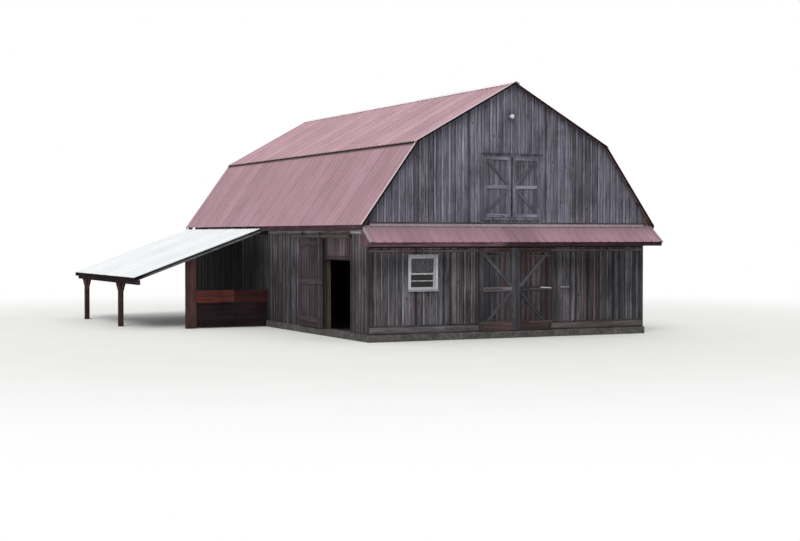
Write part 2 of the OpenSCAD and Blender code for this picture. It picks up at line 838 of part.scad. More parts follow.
// Casing on the boards, jambs through the wall and a sill with a sloped nose
module window_frame() {
    sill_side = 20;
    sill_top = win_foot - 5;
    sill_foot = win_foot - casing_w - 5;
    color(paint_white) {
        difference() {
            union() {
                block([win_x0 - casing_w, -trim_t, win_foot - casing_w],
                      [win_x0 + win_w + casing_w, 0, win_z1 + casing_w]);
                block([win_x0, 0, win_foot], [win_x0 + win_w, board_t + girt_t, win_z1]);
            }
            block([win_x0 + jamb_t, -trim_t - 1, win_foot + jamb_t],
                  [win_x0 + win_w - jamb_t, board_t + girt_t + 1, win_z1 - jamb_t]);
        }
        translate([win_x0 - casing_w - sill_side, 0, 0]) rotate([90, 0, 90])
            linear_extrude(win_w + 2 * (casing_w + sill_side))
                polygon([[-trim_t, sill_foot], [-trim_t, sill_top],
                         [-trim_t - sill_out, sill_foot + sill_nose], [-trim_t - sill_out, sill_foot]]);
    }
}

// A sash with its lower left corner at x 0, z 0
module sash(w, h) {
    difference() {
        cube([w, sash_t, h]);
        translate([sash_w, -1, sash_w]) cube([w - 2 * sash_w, sash_t + 2, h - 2 * sash_w]);
    }
}

upper_sash_h = win_z1 - jamb_t - meet_z + sash_w / 2;
lower_sash_h = meet_z + sash_w / 2 - win_foot - jamb_t;
sash_x = win_x0 + jamb_t;

module window_sashes() {
    color(paint_white) {
        translate([sash_x, sash_y, meet_z - sash_w / 2]) sash(pane_w, upper_sash_h);
        translate([sash_x, sash_y + sash_t, win_foot + jamb_t]) {
            sash(pane_w, lower_sash_h);
            translate([sash_w, 0, (lower_sash_h - sash_bar) / 2]) cube([pane_w - 2 * sash_w, sash_t, sash_bar]);
        }
    }
}

module window_glass() {
    rebate = (sash_t - glass_t) / 2;
    w = pane_w - 2 * sash_w;
    low_h = (lower_sash_h - sash_bar) / 2 - sash_w;
    color("#405058", 0.5) {
        translate([sash_x + sash_w, sash_y + rebate, meet_z + sash_w / 2])
            cube([w, glass_t, upper_sash_h - 2 * sash_w]);
        for (z = [sash_w, sash_w + low_h + sash_bar])
            translate([sash_x + sash_w, sash_y + sash_t + rebate, win_foot + jamb_t + z])
                cube([w, glass_t, low_h]);
    }
}

hanger_ys = [side_leaf_y + hanger_in, side_leaf_y + side_leaf_w - hanger_in];
hanger_w = 50;
wheel_flange = 8;                        // how far a wheel's flanges reach past its groove
wheel_side = 6;                          // thickness of a flange
wheel_play = 1;                          // from the rail to a flange

// Board leaf with three ledgers, its hanger straps and grooved wheels
module side_door() {
    ledger_x = side_leaf_x - leaf_board;
    strap_x = side_leaf_x - side_leaf_t;
    axle_z = rail_z + seat + wheel_r;
    axle_r = 8;
    edge = 20;                           // from the leaf's edges to the ends of its ledgers
    low = leaf_z + ledger_h;
    high = side_leaf_top - 1.5 * ledger_h;
    flange_in = rail_t / 2 + wheel_play;
    color(trim_red) {
        block([ledger_x, side_leaf_y, leaf_z], [side_leaf_x, side_leaf_y + side_leaf_w, side_leaf_top]);
        for (z = [low, (low + high) / 2, high])
            block([strap_x, side_leaf_y + edge, z], [ledger_x, side_leaf_y + side_leaf_w - edge, z + ledger_h]);
    }
    color(iron) for (y = hanger_ys) {
        block([strap_x - strap_t, y - hanger_w / 2, side_leaf_top - hanger_l],
              [strap_x, y + hanger_w / 2, axle_z + hanger_w / 2]);
        translate([rail_x, y, axle_z]) rotate([0, 90, 0]) {
            for (z = [flange_in, -flange_in - wheel_side]) translate([0, 0, z])
                cylinder(h = wheel_side, r = wheel_r + wheel_flange);
            translate([0, 0, -flange_in - wheel_side / 2])
                cylinder(h = 2 * flange_in + wheel_side, r = wheel_r);
        }
        translate([strap_x - strap_t / 2, y, axle_z]) rotate([0, 90, 0])
            cylinder(h = rail_x + flange_in - strap_x + strap_t / 2, r = axle_r);
    }
}

// Header board, flat rail bar and its spacers
module side_door_track() {
    header_z = rail_z - rail_h - header_low;
    spacers = 5;
    spacer_r = 10;
    spacer_in = 60;
    spacer_z = rail_z - rail_h + 2 * spacer_r;
    step = (track_end - track_start - 2 * spacer_in) / (spacers - 1);
    color(timber) block([-half_w - header_t, track_start, header_z], [-half_w, track_end, header_z + header_h]);
    color(iron) {
        block([rail_x - rail_t / 2, track_start, rail_z - rail_h], [rail_x + rail_t / 2, track_end, rail_z]);
        for (i = [0:spacers - 1])
            translate([rail_x, track_start + spacer_in + i * step, spacer_z]) rotate([0, 90, 0])
                cylinder(h = -half_w - header_t - rail_x, r = spacer_r);
    }
}

module leanto_roof() {
    color("#dfe1e0") translate([-lean_x, lean_y, lean_low]) rotate([0, -lean_a, 0])
        ribbed_sheet(lean_l, (lean_x - lean_head_x) / cos(lean_a));
}

// Its rafters: one under each end of the sheet, and between them one beside each rafter tail of the barn
lean_last_y = lean_y + lean_l - lean_end - rafter_w;
lean_rafter_ys = [
    lean_y + lean_end,
    for (i = [0:rafters - 1])
        let (y = rafter_y(i) + rafter_w)
        if (y > lean_y + 4 * rafter_w && y < lean_last_y - 4 * rafter_w) y,
    lean_last_y
];

// Sloping rafters, with flat battens across them
module leanto_rafters() {
    batten_first = 60;
    batten_last = 70;
    batten_span = (lean_x - lean_head_x) / cos(lean_a) - batten_first - batten_last - batten_w;
    batten_step = batten_span / (lean_battens - 1);
    color(timber) {
        difference() {
            for (y = lean_rafter_ys) {
                head = y + rafter_w > barn_l ? lean_head_x : half_w;
                across(y, rafter_w) polygon([
                    [-lean_tail, lean_z(lean_tail, lean_foot)], [-lean_tail, lean_z(lean_tail, batten_d)],
                    [-head, lean_z(head, batten_d)], [-head, lean_z(head, lean_foot)]
                ]);
            }
            leanto_beams();
            lower_rafters();
        }
        translate([-lean_x, lean_y, lean_low]) rotate([0, -lean_a, 0]) for (i = [0:lean_battens - 1])
            translate([batten_first + i * batten_step, lean_end, -batten_d])
                cube([batten_w, lean_l - 2 * lean_end, batten_t]);
    }
}

// Outer eave beam on the posts and the ledger on the barn wall
module leanto_beams() {
    ledger_top = lean_z(half_w + wall_ledger[0], lean_foot) + lean_notch;
    color(trim_red)
        block([-lean_beam_x - lean_beam_w / 2, lean_y + lean_end, lean_beam_top - lean_beam_h],
              [-lean_beam_x + lean_beam_w / 2, lean_y + lean_l - lean_end, lean_beam_top]);
    color(timber) block([-half_w - wall_ledger[0], lean_y + lean_end, ledger_top - wall_ledger[1]],
                        [-half_w, barn_l, ledger_top]);
}

// Outer posts with knee braces up to the beam, and the wide pier that ends the stall front
module leanto_posts() {
    step = (lean_l - post_first - post_last) / (lean_posts - 1);
    post_h = lean_beam_top - lean_beam_h;
    near = lean_post / 2 + seat;
    far = near + knee_reach;
    top = post_h - seat;
    color(trim_red) {
        for (i = [0:lean_posts - 1]) translate([-lean_beam_x, lean_y + post_first + i * step, 0]) {
            translate([-lean_post / 2, -lean_post / 2, 0]) cube([lean_post, lean_post, post_h]);
            for (s = [-1, 1]) translate([-knee_t / 2, 0, 0]) rotate([90, 0, 90]) linear_extrude(knee_t)
                polygon([[s * near, top - knee_reach], [s * near, top - knee_reach + knee_cut],
                         [s * (far - knee_cut), top], [s * far, top]]);
        }
        across(lean_y + lean_end, post) polygon([[-pier_x, 0], [-pier_x, lean_z(pier_x, lean_foot + seat)],
            [-pier_x + pier_w, lean_z(pier_x - pier_w, lean_foot + seat)], [-pier_x + pier_w, 0]]);
    }
}

// Boards from the pier to the barn wall, the low ones cut short at the footing
module stall_front() {
    low = 30;                            // from the ground to the lowest board
    y = lean_y + 3 * lean_end;
    color(trim_red) for (i = [0:stall_boards - 1]) {
        z = low + i * (stall_board_h + stall_gap);
        end_x = z < footing_h ? -half_w - footing_out : -half_w;
        block([-pier_x + pier_w, y, z], [end_x, y + trim_t, z + stall_board_h]);
    }
}

// Globe on a round base under the peak
module gable_lamp() {
    base_t = 30;
    base_r = 0.75 * lamp_r;
    color(paint_white) translate([lamp_x, 0, ridge_h - lamp_drop]) {
        rotate([90, 0, 0]) cylinder(h = base_t, r = base_r);
        translate([0, -base_t - 0.8 * lamp_r, 0]) sphere(r = lamp_r);
    }
}

footing();
sill_beams();
wall_posts();
wall_girts();
centre_posts();
tie_beams();
loft_joists();
loft_floor();
purlin_posts();
gable_studs();
roof_beams();
lower_rafters();
upper_rafters();
roof_battens();
front_wall_left();
front_wall_right();
front_gable();
left_wall_front();
left_wall_rear();
side_transom();
right_wall();
rear_wall();
roof_lower_left();
roof_lower_right();
roof_upper_left();
roof_upper_right();
ridge_cap();
rake_boards();
eave_fascias();
pent_roof();
pent_brackets_set();
pent_fascia();
door_posts();
door_left();
door_right();
straps_left();
straps_right();
hinge_pintles();
loft_doors();
loft_door_trim();
window_frame();
window_sashes();
window_glass();
side_door_frame();
side_door();
side_door_track();
leanto_roof();
leanto_rafters();
leanto_beams();
leanto_posts();
stall_front();
gable_lamp();
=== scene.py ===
import math
import random

import bpy
from mathutils import Matrix, Vector


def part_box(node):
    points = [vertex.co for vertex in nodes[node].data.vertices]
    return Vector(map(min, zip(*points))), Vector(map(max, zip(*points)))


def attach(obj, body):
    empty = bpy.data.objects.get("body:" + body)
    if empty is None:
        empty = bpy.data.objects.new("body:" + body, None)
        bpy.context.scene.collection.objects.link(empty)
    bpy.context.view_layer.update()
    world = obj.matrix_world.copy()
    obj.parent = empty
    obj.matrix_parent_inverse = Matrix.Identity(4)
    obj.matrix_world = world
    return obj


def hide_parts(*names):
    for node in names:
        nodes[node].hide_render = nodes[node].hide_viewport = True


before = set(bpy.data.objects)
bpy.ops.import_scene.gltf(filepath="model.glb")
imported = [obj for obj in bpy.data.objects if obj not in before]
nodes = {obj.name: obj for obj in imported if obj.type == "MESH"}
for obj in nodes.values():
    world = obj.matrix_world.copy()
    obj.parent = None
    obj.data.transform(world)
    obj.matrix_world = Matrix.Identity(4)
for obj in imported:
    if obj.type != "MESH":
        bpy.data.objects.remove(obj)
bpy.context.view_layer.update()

dice = random.Random(31)
right, back, up = Vector((1, 0, 0)), Vector((0, 1, 0)), Vector((0, 0, 1))
quarter = math.pi / 2
print("frame loaded,", len(nodes), "nodes")


# Working in the viewport's tools

def clearSelection():
    if bpy.context.object and bpy.context.object.mode != "OBJECT":
        bpy.ops.object.mode_set(mode="OBJECT")
    bpy.ops.object.select_all(action="DESELECT")


def take(piece):
    clearSelection()
    piece.select_set(True)
    bpy.context.view_layer.objects.active = piece


def enterEdit(piece):        # with the whole piece selected
    take(piece)
    bpy.ops.object.mode_set(mode="EDIT")
    bpy.ops.mesh.select_all(action="SELECT")


def leaveEdit():
    bpy.ops.object.mode_set(mode="OBJECT")


def pick(piece, kind, wanted):        # leaves the piece in edit mode with the wanted edges or faces selected
    enterEdit(piece)
    bpy.ops.mesh.select_mode(type=kind)
    bpy.ops.mesh.select_all(action="DESELECT")
    leaveEdit()
    points = piece.data.vertices
    if kind == "EDGE":
        for edge in piece.data.edges:
            edge.select = wanted(points[edge.vertices[0]].co, points[edge.vertices[1]].co)
    else:
        for face in piece.data.polygons:
            face.select = wanted(face.center, face.normal)
    bpy.ops.object.mode_set(mode="EDIT")


def bevelEdges(piece, edge, segments=1, wanted=None):
    if wanted:
        pick(piece, "EDGE", wanted)
    else:
        enterEdit(piece)
    bpy.ops.mesh.bevel(offset=edge, segments=segments, affect="EDGES")
    leaveEdit()


def divideEdges(piece, cuts, wanted):
    pick(piece, "EDGE", wanted)
    bpy.ops.mesh.subdivide(number_cuts=cuts)
    leaveEdit()


def settle(name):        # names the new object and puts its place, turn and size into its mesh
    bpy.context.object.name = name
    bpy.ops.object.transform_apply(location=True, rotation=True, scale=True)
    return bpy.context.object


def makeBlock(name, low, high, edge=0.0):
    clearSelection()
    low, high = Vector(low), Vector(high)
    bpy.ops.mesh.primitive_cube_add(size=1, location=(low + high) / 2)
    bpy.context.object.scale = high - low
    block = settle(name)
    if edge:
        bevelEdges(block, edge)
    return block


def makeRound(name, radius, depth, at, sides, turn=(0, 0, 0), edge=0.0):
    clearSelection()
    bpy.ops.mesh.primitive_cylinder_add(vertices=sides, radius=radius, depth=depth, location=at,
                                        rotation=turn)
    turned = settle(name)
    if edge:
        middle = Vector(at)
        axis = Matrix.Rotation(turn[1], 3, "Y") @ Matrix.Rotation(turn[0], 3, "X") @ up
        bevelEdges(turned, edge, 2, lambda a, b: (abs((a - b).dot(axis)) < 1e-5
                                                  and abs((a - middle).dot(axis)) > depth / 3))
    return turned


def cutOff(piece, point, normal):        # takes away what lies on the normal's side, and closes the cut
    enterEdit(piece)
    bpy.ops.mesh.bisect(plane_co=point, plane_no=normal, use_fill=True, clear_outer=True)
    leaveEdit()


def smoothPiece(piece, angle):
    take(piece)
    bpy.ops.object.shade_smooth_by_angle(angle=math.radians(angle))


def addObject(name, data):
    added = bpy.data.objects.new(name, data)
    bpy.context.collection.objects.link(added)
    return added


def joinPieces(parts, name):
    clearSelection()
    for part in parts:
        part.select_set(True)
    bpy.context.view_layer.objects.active = parts[0]
    if len(parts) > 1:
        bpy.ops.object.join()
    parts[0].name = name
    return parts[0]


def addPiece(name, parts, body, slot, finish, *replaced):        # one piece of a body, joined from its parts
    piece = joinPieces(parts, name)
    piece.data.materials.clear()
    piece.data.materials.append(finish)
    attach(piece, body)
    if replaced:
        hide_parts(*replaced)
    return piece


softening = {"weld": 0.0001, "angle": math.radians(35)}


def dressNode(name, finish, edge=0.0):        # a CAD node keeps its shape; its edges may be softened
    node = nodes[name]
    if node.material_slots:
        for holder in node.material_slots:
            holder.material = finish
    else:
        node.data.materials.append(finish)
    if edge:
        weld = node.modifiers.new("weld", "WELD")
        weld.merge_threshold = softening["weld"]
        bevel = node.modifiers.new("edges", "BEVEL")
        bevel.width = edge
        bevel.segments = 1
        bevel.limit_method = "ANGLE"
        bevel.angle_limit = softening["angle"]


# Boards: a few are shaped one by one, all others are copies laid from start to end

def makeBoard(name, wide, deep, cuts, edge, bow=0.0, cup=0.0):        # upright and 1 m long
    def isLong(a, b):
        return abs(a.z - b.z) > 0.5

    board = makeBlock(name, (-wide / 2, -deep / 2, 0), (wide / 2, deep / 2, 1))
    bevelEdges(board, edge, 1, isLong)
    divideEdges(board, cuts, isLong)
    if bow or cup:        # the cross cuts beside the middle are drawn aside, and the rest follows softly
        reach = 0.55 / (cuts + 1)
        pick(board, "EDGE", lambda a, b: abs(a.z - b.z) < 1e-4 and abs(a.z - 0.5) < reach)
        bpy.ops.transform.translate(value=(bow, cup, 0), use_proportional_edit=True, proportional_size=0.45,
                                    proportional_edit_falloff="SMOOTH")
        leaveEdit()
    board["wide"], board["deep"] = wide, deep
    return board


def layBar(board, start, end, depthAxis, wide, deep, tone=None, stain=0.0, light=1.0):
    start, end = Vector(start), Vector(end)
    span = end - start
    lengthAxis = span.normalized()
    depthAxis = (depthAxis - depthAxis.dot(lengthAxis) * lengthAxis).normalized()
    widthAxis = depthAxis.cross(lengthAxis)
    size = Vector((wide / board["wide"], deep / board["deep"], span.length))
    mesh = board.data.copy()
    shift = Vector([dice.uniform(0, 40) for axis in range(3)])
    if tone is None:
        tone = dice.random()
    grain = [point.co[axis] * size[axis] + shift[axis] for point in mesh.vertices for axis in range(3)]
    # 0 along the middle of a wide board, 1 at its edges
    reach = 2 / board["wide"] if board["wide"] > widest else 0
    sides = [abs(point.co.x) * reach for point in mesh.vertices]
    for name, kind, key, values in (
            ("grainAt", "FLOAT_VECTOR", "vector", grain),
            ("shade", "FLOAT_VECTOR", "vector", [tone, stain, light] * len(mesh.vertices)),
            ("side", "FLOAT", "value", sides)):
        mesh.attributes.new(name, kind, "POINT").data.foreach_set(key, values)
    placed = Matrix.Identity(4)
    for column, axis in enumerate((widthAxis * size.x, depthAxis * size.y, lengthAxis * size.z, start)):
        for row in range(3):
            placed[row][column] = axis[row]
    mesh.transform(placed)
    return addObject(board.name, mesh)


plankSizes = {"wide": 0.22, "deep": 0.0165, "cuts": 3}
stripSizes = {"wide": 0.052, "deep": 0.0115, "cuts": 4}
widest = 0.2        # only patterns wider than this carry painted shade and grime along their edges
planks = [makeBoard("plankStraight", edge=0.0025, **plankSizes),
          makeBoard("plankBowed", edge=0.003, bow=0.002, **plankSizes),
          makeBoard("plankLeaning", edge=0.0025, bow=-0.002, cup=0.0006, **plankSizes),
          makeBoard("plankCupped", edge=0.0035, cup=-0.0006, **plankSizes)]
for plank in planks:        # a line along the middle
    enterEdit(plank)
    bpy.ops.mesh.bisect(plane_co=(0, 0, 0), plane_no=(1, 0, 0))
    leaveEdit()
strips = [makeBoard("stripStraight", edge=0.0022, **stripSizes),
          makeBoard("stripBowed", edge=0.003, bow=0.004, **stripSizes),
          makeBoard("stripLeaning", edge=0.002, bow=-0.004, **stripSizes)]
bar = makeBoard("barStraight", 0.12, 0.025, 3, 0.003)
print("board patterns shaped")


# Finishes: fields are node outputs, and what is done with them adds nodes

def put(tree, kind, sources=(), **settings):        # sources: for some inputs a field or a plain value
    node = tree.nodes.new("ShaderNode" + kind)
    for key, value in settings.items():
        setattr(node, key, value)
    for key, source in dict(sources).items():
        socket = node.inputs[key]
        if isinstance(source, Field):
            tree.links.new(source.socket, socket)
        else:
            socket.default_value = (*source, 1) if socket.type == "RGBA" else source
    return node


class Field:
    def __init__(self, tree, socket):
        self.tree, self.socket = tree, socket

    def put(self, kind, output=0, sources=(), **settings):
        return Field(self.tree, put(self.tree, kind, sources, **settings).outputs[output])

    def into(self, socket):
        self.tree.links.new(self.socket, socket)

    def maths(self, operation, other=0.0):
        return self.put("Math", 0, {0: self, 1: other}, operation=operation)

    def __add__(self, other):
        return self.maths("ADD", other)

    def __sub__(self, other):
        return self.maths("SUBTRACT", other)

    def __mul__(self, other):
        return self.maths("MULTIPLY", other)

    def __truediv__(self, other):
        return self.maths("DIVIDE", other)

    def split(self):
        return [Field(self.tree, output) for output in put(self.tree, "SeparateXYZ", {0: self}).outputs]

    def attribute(self, name, output):
        return self.put("Attribute", output, attribute_name=name)

    def stretch(self, scale, turn=(0, 0, 0)):
        return self.put("Mapping", 0, {"Vector": self, "Scale": scale, "Rotation": turn})

    def noise(self, scale, detail=3.0, rough=0.55):
        return self.put("TexNoise", 0, {"Vector": self, "Scale": scale, "Detail": detail, "Roughness": rough})

    def cells(self, scale, output, feature="F1"):
        return self.put("TexVoronoi", output, {"Vector": self, "Scale": scale}, feature=feature)

    def chance(self):        # a draw of its own for each value
        return self.put("TexWhiteNoise", "Value", {"W": self}, noise_dimensions="1D")

    def grade(self, low, high, first=0.0, last=1.0):
        return self.put("MapRange", 0, enumerate((self, low, high, first, last)),
                        interpolation_type="SMOOTHSTEP")

    def mix(self, amount, other, how="MIX"):
        return self.put("Mix", 2, {0: amount, 6: self, 7: other}, data_type="RGBA", blend_type=how)

    def dim(self, factor):
        return self.mix(1.0, factor, "MULTIPLY")

    def between(self, first, second):
        return self.put("Mix", 2, {0: self, 6: first, 7: second}, data_type="RGBA")


def startFinish(name):        # the finish, its shader and the object's coordinates
    finish = bpy.data.materials.new(name)
    finish.use_nodes = True
    tree = finish.node_tree
    return finish, tree.nodes["Principled BSDF"], Field(tree, put(tree, "TexCoord").outputs["Object"])


def endFinish(finish, shader, colour, rough, height=None, depth=0.0, strength=0.8):
    colour.into(shader.inputs["Base Color"])
    rough.into(shader.inputs["Roughness"])
    if height:
        bump = height.put("Bump", 0, {"Strength": strength, "Distance": depth, "Height": height})
        bump.into(shader.inputs["Normal"])
    return finish


# of each noise in wood: its squeeze along the grain, scale, detail and roughness
woodNoises = {"fine": (0.045, 85, 4, 0.7), "band": (0.045, 24, 3, 0.55), "crack": (0.045, 33, 2, 0.55),
              "broad": (0.12, 9, 3, 0.6), "wave": (0.3, 3.2, 2, 0.55)}


def woodFinish(name, look, axis=None):        # axis is the long axis of a CAD timber; boards carry their own
    finish, shader, place = startFinish(name)
    if axis:
        at = place.stretch((1, 1, 1), {"X": (0, quarter, 0), "Y": (quarter, 0, 0), "Z": (0, 0, 0)}[axis])
        tone, stain = at.stretch((1, 1, 0.12)).noise(3.1, 1.0).grade(0.3, 0.7), 0.0
    else:
        at = place.attribute("grainAt", "Vector")
        tone, stain, light = place.attribute("shade", "Vector").split()
    fine, band, crack, broad, wave = [at.stretch((1, 1, squeeze)).noise(*values)
                                      for squeeze, *values in woodNoises.values()]
    # thin checks that open here and there along the grain
    check = (crack - 0.5).maths("ABSOLUTE").grade(0.0, 0.014, 1.0, 0.0) * wave.grade(0.42, 0.58)
    knot = at.stretch((1, 1, 0.5)).cells(3.3, "Distance").grade(0.05, 0.11, 1.0, 0.0)
    grain = fine * 0.3 + band * 0.35 + broad * 0.35
    colour = grain.grade(0.38, 0.62).between(look["dark"], look["pale"])
    stained = (tone * 913.0).chance().grade(1 - look["stained"], 1.04 - look["stained"] * 0.8)
    stained = stained.maths("MAXIMUM", stain) * wave.grade(0.3, 0.65, 0.55, 0.95)
    colour = colour.mix(stained, band.grade(0.3, 0.7).between(look["stainDark"], look["stain"]))
    colour = colour.dim(tone.grade(0.0, 1.0, 1 - look["spread"], 1 + look["spread"]))
    colour = colour.dim(place.noise(0.8, 4, 0.6).grade(0.3, 0.7, 0.74, 1.24))
    x, y, z = place.split()
    for key, measure in (("rise", z), ("run", x)):        # from, to, two factors: painted light and shade by height and along x
        if key in look:
            colour = colour.dim(measure.grade(*look[key]))
    if "lit" in look:        # lower half of a rafter, out of the shadow of the sheets
        head, rise, first, last, factor = look["lit"]
        colour = colour.dim((x * rise + head - z).grade(first, last, 1.0, factor))
    if "splash" in look:        # damp foot
        amount, wet = look["splash"]
        colour = colour.mix((z + band * 0.7).grade(0.3, 1.3, amount, 0.0), wet)
    colour = colour.mix(knot * 0.7, look["deep"]).mix(check * 0.8, look["deep"])
    if not axis:        # painted light and shade of each board, and painted shade with some grime beside the cover strips
        colour = colour.dim(light * place.attribute("side", "Fac").grade(0.45, 0.78, 1.0, 1 - look["edge"]))
    shader.inputs["Specular IOR Level"].default_value = look["sheen"]
    rough = fine.grade(0.3, 0.7, 0.72, 0.92)
    return endFinish(finish, shader, colour, rough, grain - (check + knot) * 0.6, 0.004)


# Rows of ribs: their step, the first one of each roof, and how far beside a rib the screws sit
ribs = {"step": 0.305, "barn": -0.08, "pent": -4.7275, "leanTo": 8.0875, "screw": 0.045}


def metalFinish(name, look, across="Y"):        # across is the axis along the eave
    finish, shader, place = startFinish(name)
    axes = dict(zip("XYZ", place.split()))
    run = axes[across] - look["firstRib"]

    def fromLine(pitch):        # distance from the nearest of the lines that stand at that pitch
        return ((run / pitch + 0.5).maths("FRACT") - 0.5).maths("ABSOLUTE") * pitch

    downhill = place.stretch((0.07, 1, 0.07) if across == "Y" else (1, 0.07, 0.07))
    streaks, runs = downhill.noise(9, 4, 0.65), downhill.noise(31, 3, 0.6)
    clouds, specks = place.noise(0.7, 4, 0.6), place.noise(34, 2)
    fade = clouds * 0.5 + streaks * 0.5
    colour = fade.grade(0.36, 0.64).between(look["paint"], look["faded"])
    own = (run / look["sheet"]).maths("FLOOR").chance()
    colour = colour.dim(own.grade(0, 1, 1 - look["spread"], 1 + look["spread"]))
    # painted shade with some dust along the foot of each rib, more grime where two sheets meet
    ribSide = fromLine(ribs["step"])
    ribFootShadeAndDust = ribSide.grade(0.016, 0.03) * ribSide.grade(0.04, 0.075, 1.0, 0.0)
    ribFootShadeAndDust = ribFootShadeAndDust * streaks.grade(0.35, 0.65, 0.5, 1.0)
    seam = fromLine(look["sheet"]).grade(0.02, 0.11, 1.0, 0.0)
    for spots, share in ((ribFootShadeAndDust, "ribShadeAndDirt"), (seam, "seamDirt"), (runs.grade(0.52, 0.72), "dirty")):
        colour = colour.mix(spots * look[share], look["dirtAndShade"])
    for axis, *values, mark in look.get("marks", ()):        # from, to, two amounts, colour
        colour = colour.mix(axes[axis].grade(*values), mark)
    if "patch" in look:        # a stained stretch
        first, last, soft, factor = look["patch"]
        stained = axes[across].grade(first, first + soft) * axes[across].grade(last - soft, last, 1.0, 0.0)
        colour = colour.dim(stained.grade(0.0, 1.0, 1.0, factor))
    colour = colour.mix(specks.grade(0.66, 0.74) * clouds.grade(0.5, 0.62) * look["rusty"], look["rust"])
    rough = fade.grade(0.3, 0.7, look["gloss"], look["gloss"] + 0.22)
    return endFinish(finish, shader, colour, rough, place.noise(1.7, 2) + runs * 0.04, 0.012, 0.5)


def paintFinish(name, look):
    finish, shader, place = startFinish(name)
    brush, grime = place.stretch((1, 1, 0.08)).noise(60, 3), place.noise(5, 4, 0.6)
    worn = place.noise(26, 5, 0.7).grade(look["worn"], look["worn"] + 0.03)
    colour = brush.grade(0.3, 0.7).between(look["shade"], look["paint"])
    colour = colour.mix(grime.grade(0.45, 0.75, 0.0, 0.5), look["grime"]).mix(worn, look["under"])
    level = place.split()[2]
    for mark in look.get("marks", ()):        # painted shade at the sill and at the head under the pent roof
        colour = colour.dim(level.grade(*mark))
    return endFinish(finish, shader, colour, grime.grade(0.3, 0.7, 0.45, 0.7), brush - worn, 0.0012)


def ironFinish(name, look):
    finish, shader, place = startFinish(name)
    pits = place.noise(140, 3, 0.6)
    rust = place.noise(13, 5, 0.65).grade(look["rustFrom"], look["rustFrom"] + 0.12)
    colour = pits.grade(0.35, 0.65).between(look["dark"], look["pale"])
    colour = colour.mix(rust, pits.between(look["rustDark"], look["rust"]))
    (rust * -0.7 + 0.75).into(shader.inputs["Metallic"])
    return endFinish(finish, shader, colour, rust.grade(0, 1, 0.45, 0.85), pits + rust, 0.0008)


def stoneFinish(name, look):
    finish, shader, place = startFinish(name)
    grit, veins, moss = place.noise(90, 4, 0.7), place.noise(11, 5, 0.65), place.noise(3.1, 4, 0.6)
    courses = place.stretch(look["squeeze"])
    own = courses.cells(look["scale"], "Color").split()[0]
    mortar = courses.cells(look["scale"], "Distance", "DISTANCE_TO_EDGE").grade(0.02, 0.06, 1.0, 0.0)
    colour = veins.grade(0.35, 0.65).between(look["dark"], look["pale"]).dim(own.grade(0, 1, 0.72, 1.25))
    colour = colour.mix(mortar, look["mortar"]).mix(moss.grade(0.55, 0.7, 0, 0.5), look["moss"])
    colour = colour.mix(grit.grade(0.6, 0.75, 0, 0.5), look["grit"])
    rough = grit.grade(0.3, 0.7, 0.8, 0.95)
    return endFinish(finish, shader, colour, rough, grit * 0.15 + veins - mortar, 0.015, 0.9)


def glassFinish(name, look):
    finish, shader, place = startFinish(name)
    # dust on the glass and a painted reflection of the sky, given as base colour
    filmAndReflection = place.stretch((1, 1, 0.2)).noise(22, 3).grade(0.3, 0.7)
    colour = filmAndReflection.between(look["dark"], look["pale"]).dim(place.split()[2].grade(*look["rise"]))
    shader.inputs["Specular IOR Level"].default_value = 0.2
    shader.inputs["Transmission Weight"].default_value = 0.8
    shader.inputs["IOR"].default_value = 1.45
    return endFinish(finish, shader, colour, place.noise(7, 5, 0.7).grade(0.35, 0.75, 0.06, 0.4))


# Woods: stain is the second colour and stained the share of boards that have it, deep the colour of knots
# and checks, edge the painted shade and grime along a board's edges, splash the amount and colour of the damp
# foot
def woodLook(pale, dark, stain, stainDark, deep, **more):
    return {"pale": pale, "dark": dark, "stain": stain, "stainDark": stainDark, "deep": deep, "stained": 0.2,
            "spread": 0.2, "sheen": 0.12, **more}


gableGrey = woodLook(
    (0.168, 0.163, 0.202), (0.0627, 0.0604, 0.077), (0.129, 0.114, 0.124), (0.0672, 0.0593, 0.0633),
    (0.018, 0.017, 0.019), stained=0.08, spread=0.22, edge=0.5)
# rise paints light on the upper wall, against the shade under the pent and the eaves
groundGrey = woodLook(
    (0.139, 0.134, 0.147), (0.0468, 0.0452, 0.0503), (0.117, 0.0798, 0.0789), (0.052, 0.0346, 0.034),
    (0.012, 0.011, 0.011), spread=0.32, edge=0.6, rise=(2.0, 3.15, 1.0, 2.3),
    splash=(0.3, (0.034, 0.033, 0.031)))
# rise paints light on the upper half of the doors, against the pent's shade
doorGrey = woodLook(
    (0.0805, 0.0781, 0.0871), (0.0317, 0.0309, 0.0351), (0.0915, 0.0529, 0.052), (0.0415, 0.0227, 0.0221),
    (0.009, 0.008, 0.008), spread=0.3, edge=0.35, rise=(1.2, 2.1, 0.95, 1.55),
    splash=(0.25, (0.03, 0.027, 0.024)))
# rise paints light under the eave, against its shade
sideGrey = woodLook(
    (0.0896, 0.0693, 0.0788), (0.04, 0.0297, 0.0344), (0.0864, 0.0495, 0.0477), (0.0432, 0.0231, 0.0222),
    (0.01, 0.008, 0.008), stained=0.25, spread=0.25, edge=0.35, rise=(2.5, 3.15, 1.0, 1.2),
    splash=(0.3, (0.03, 0.026, 0.024)))
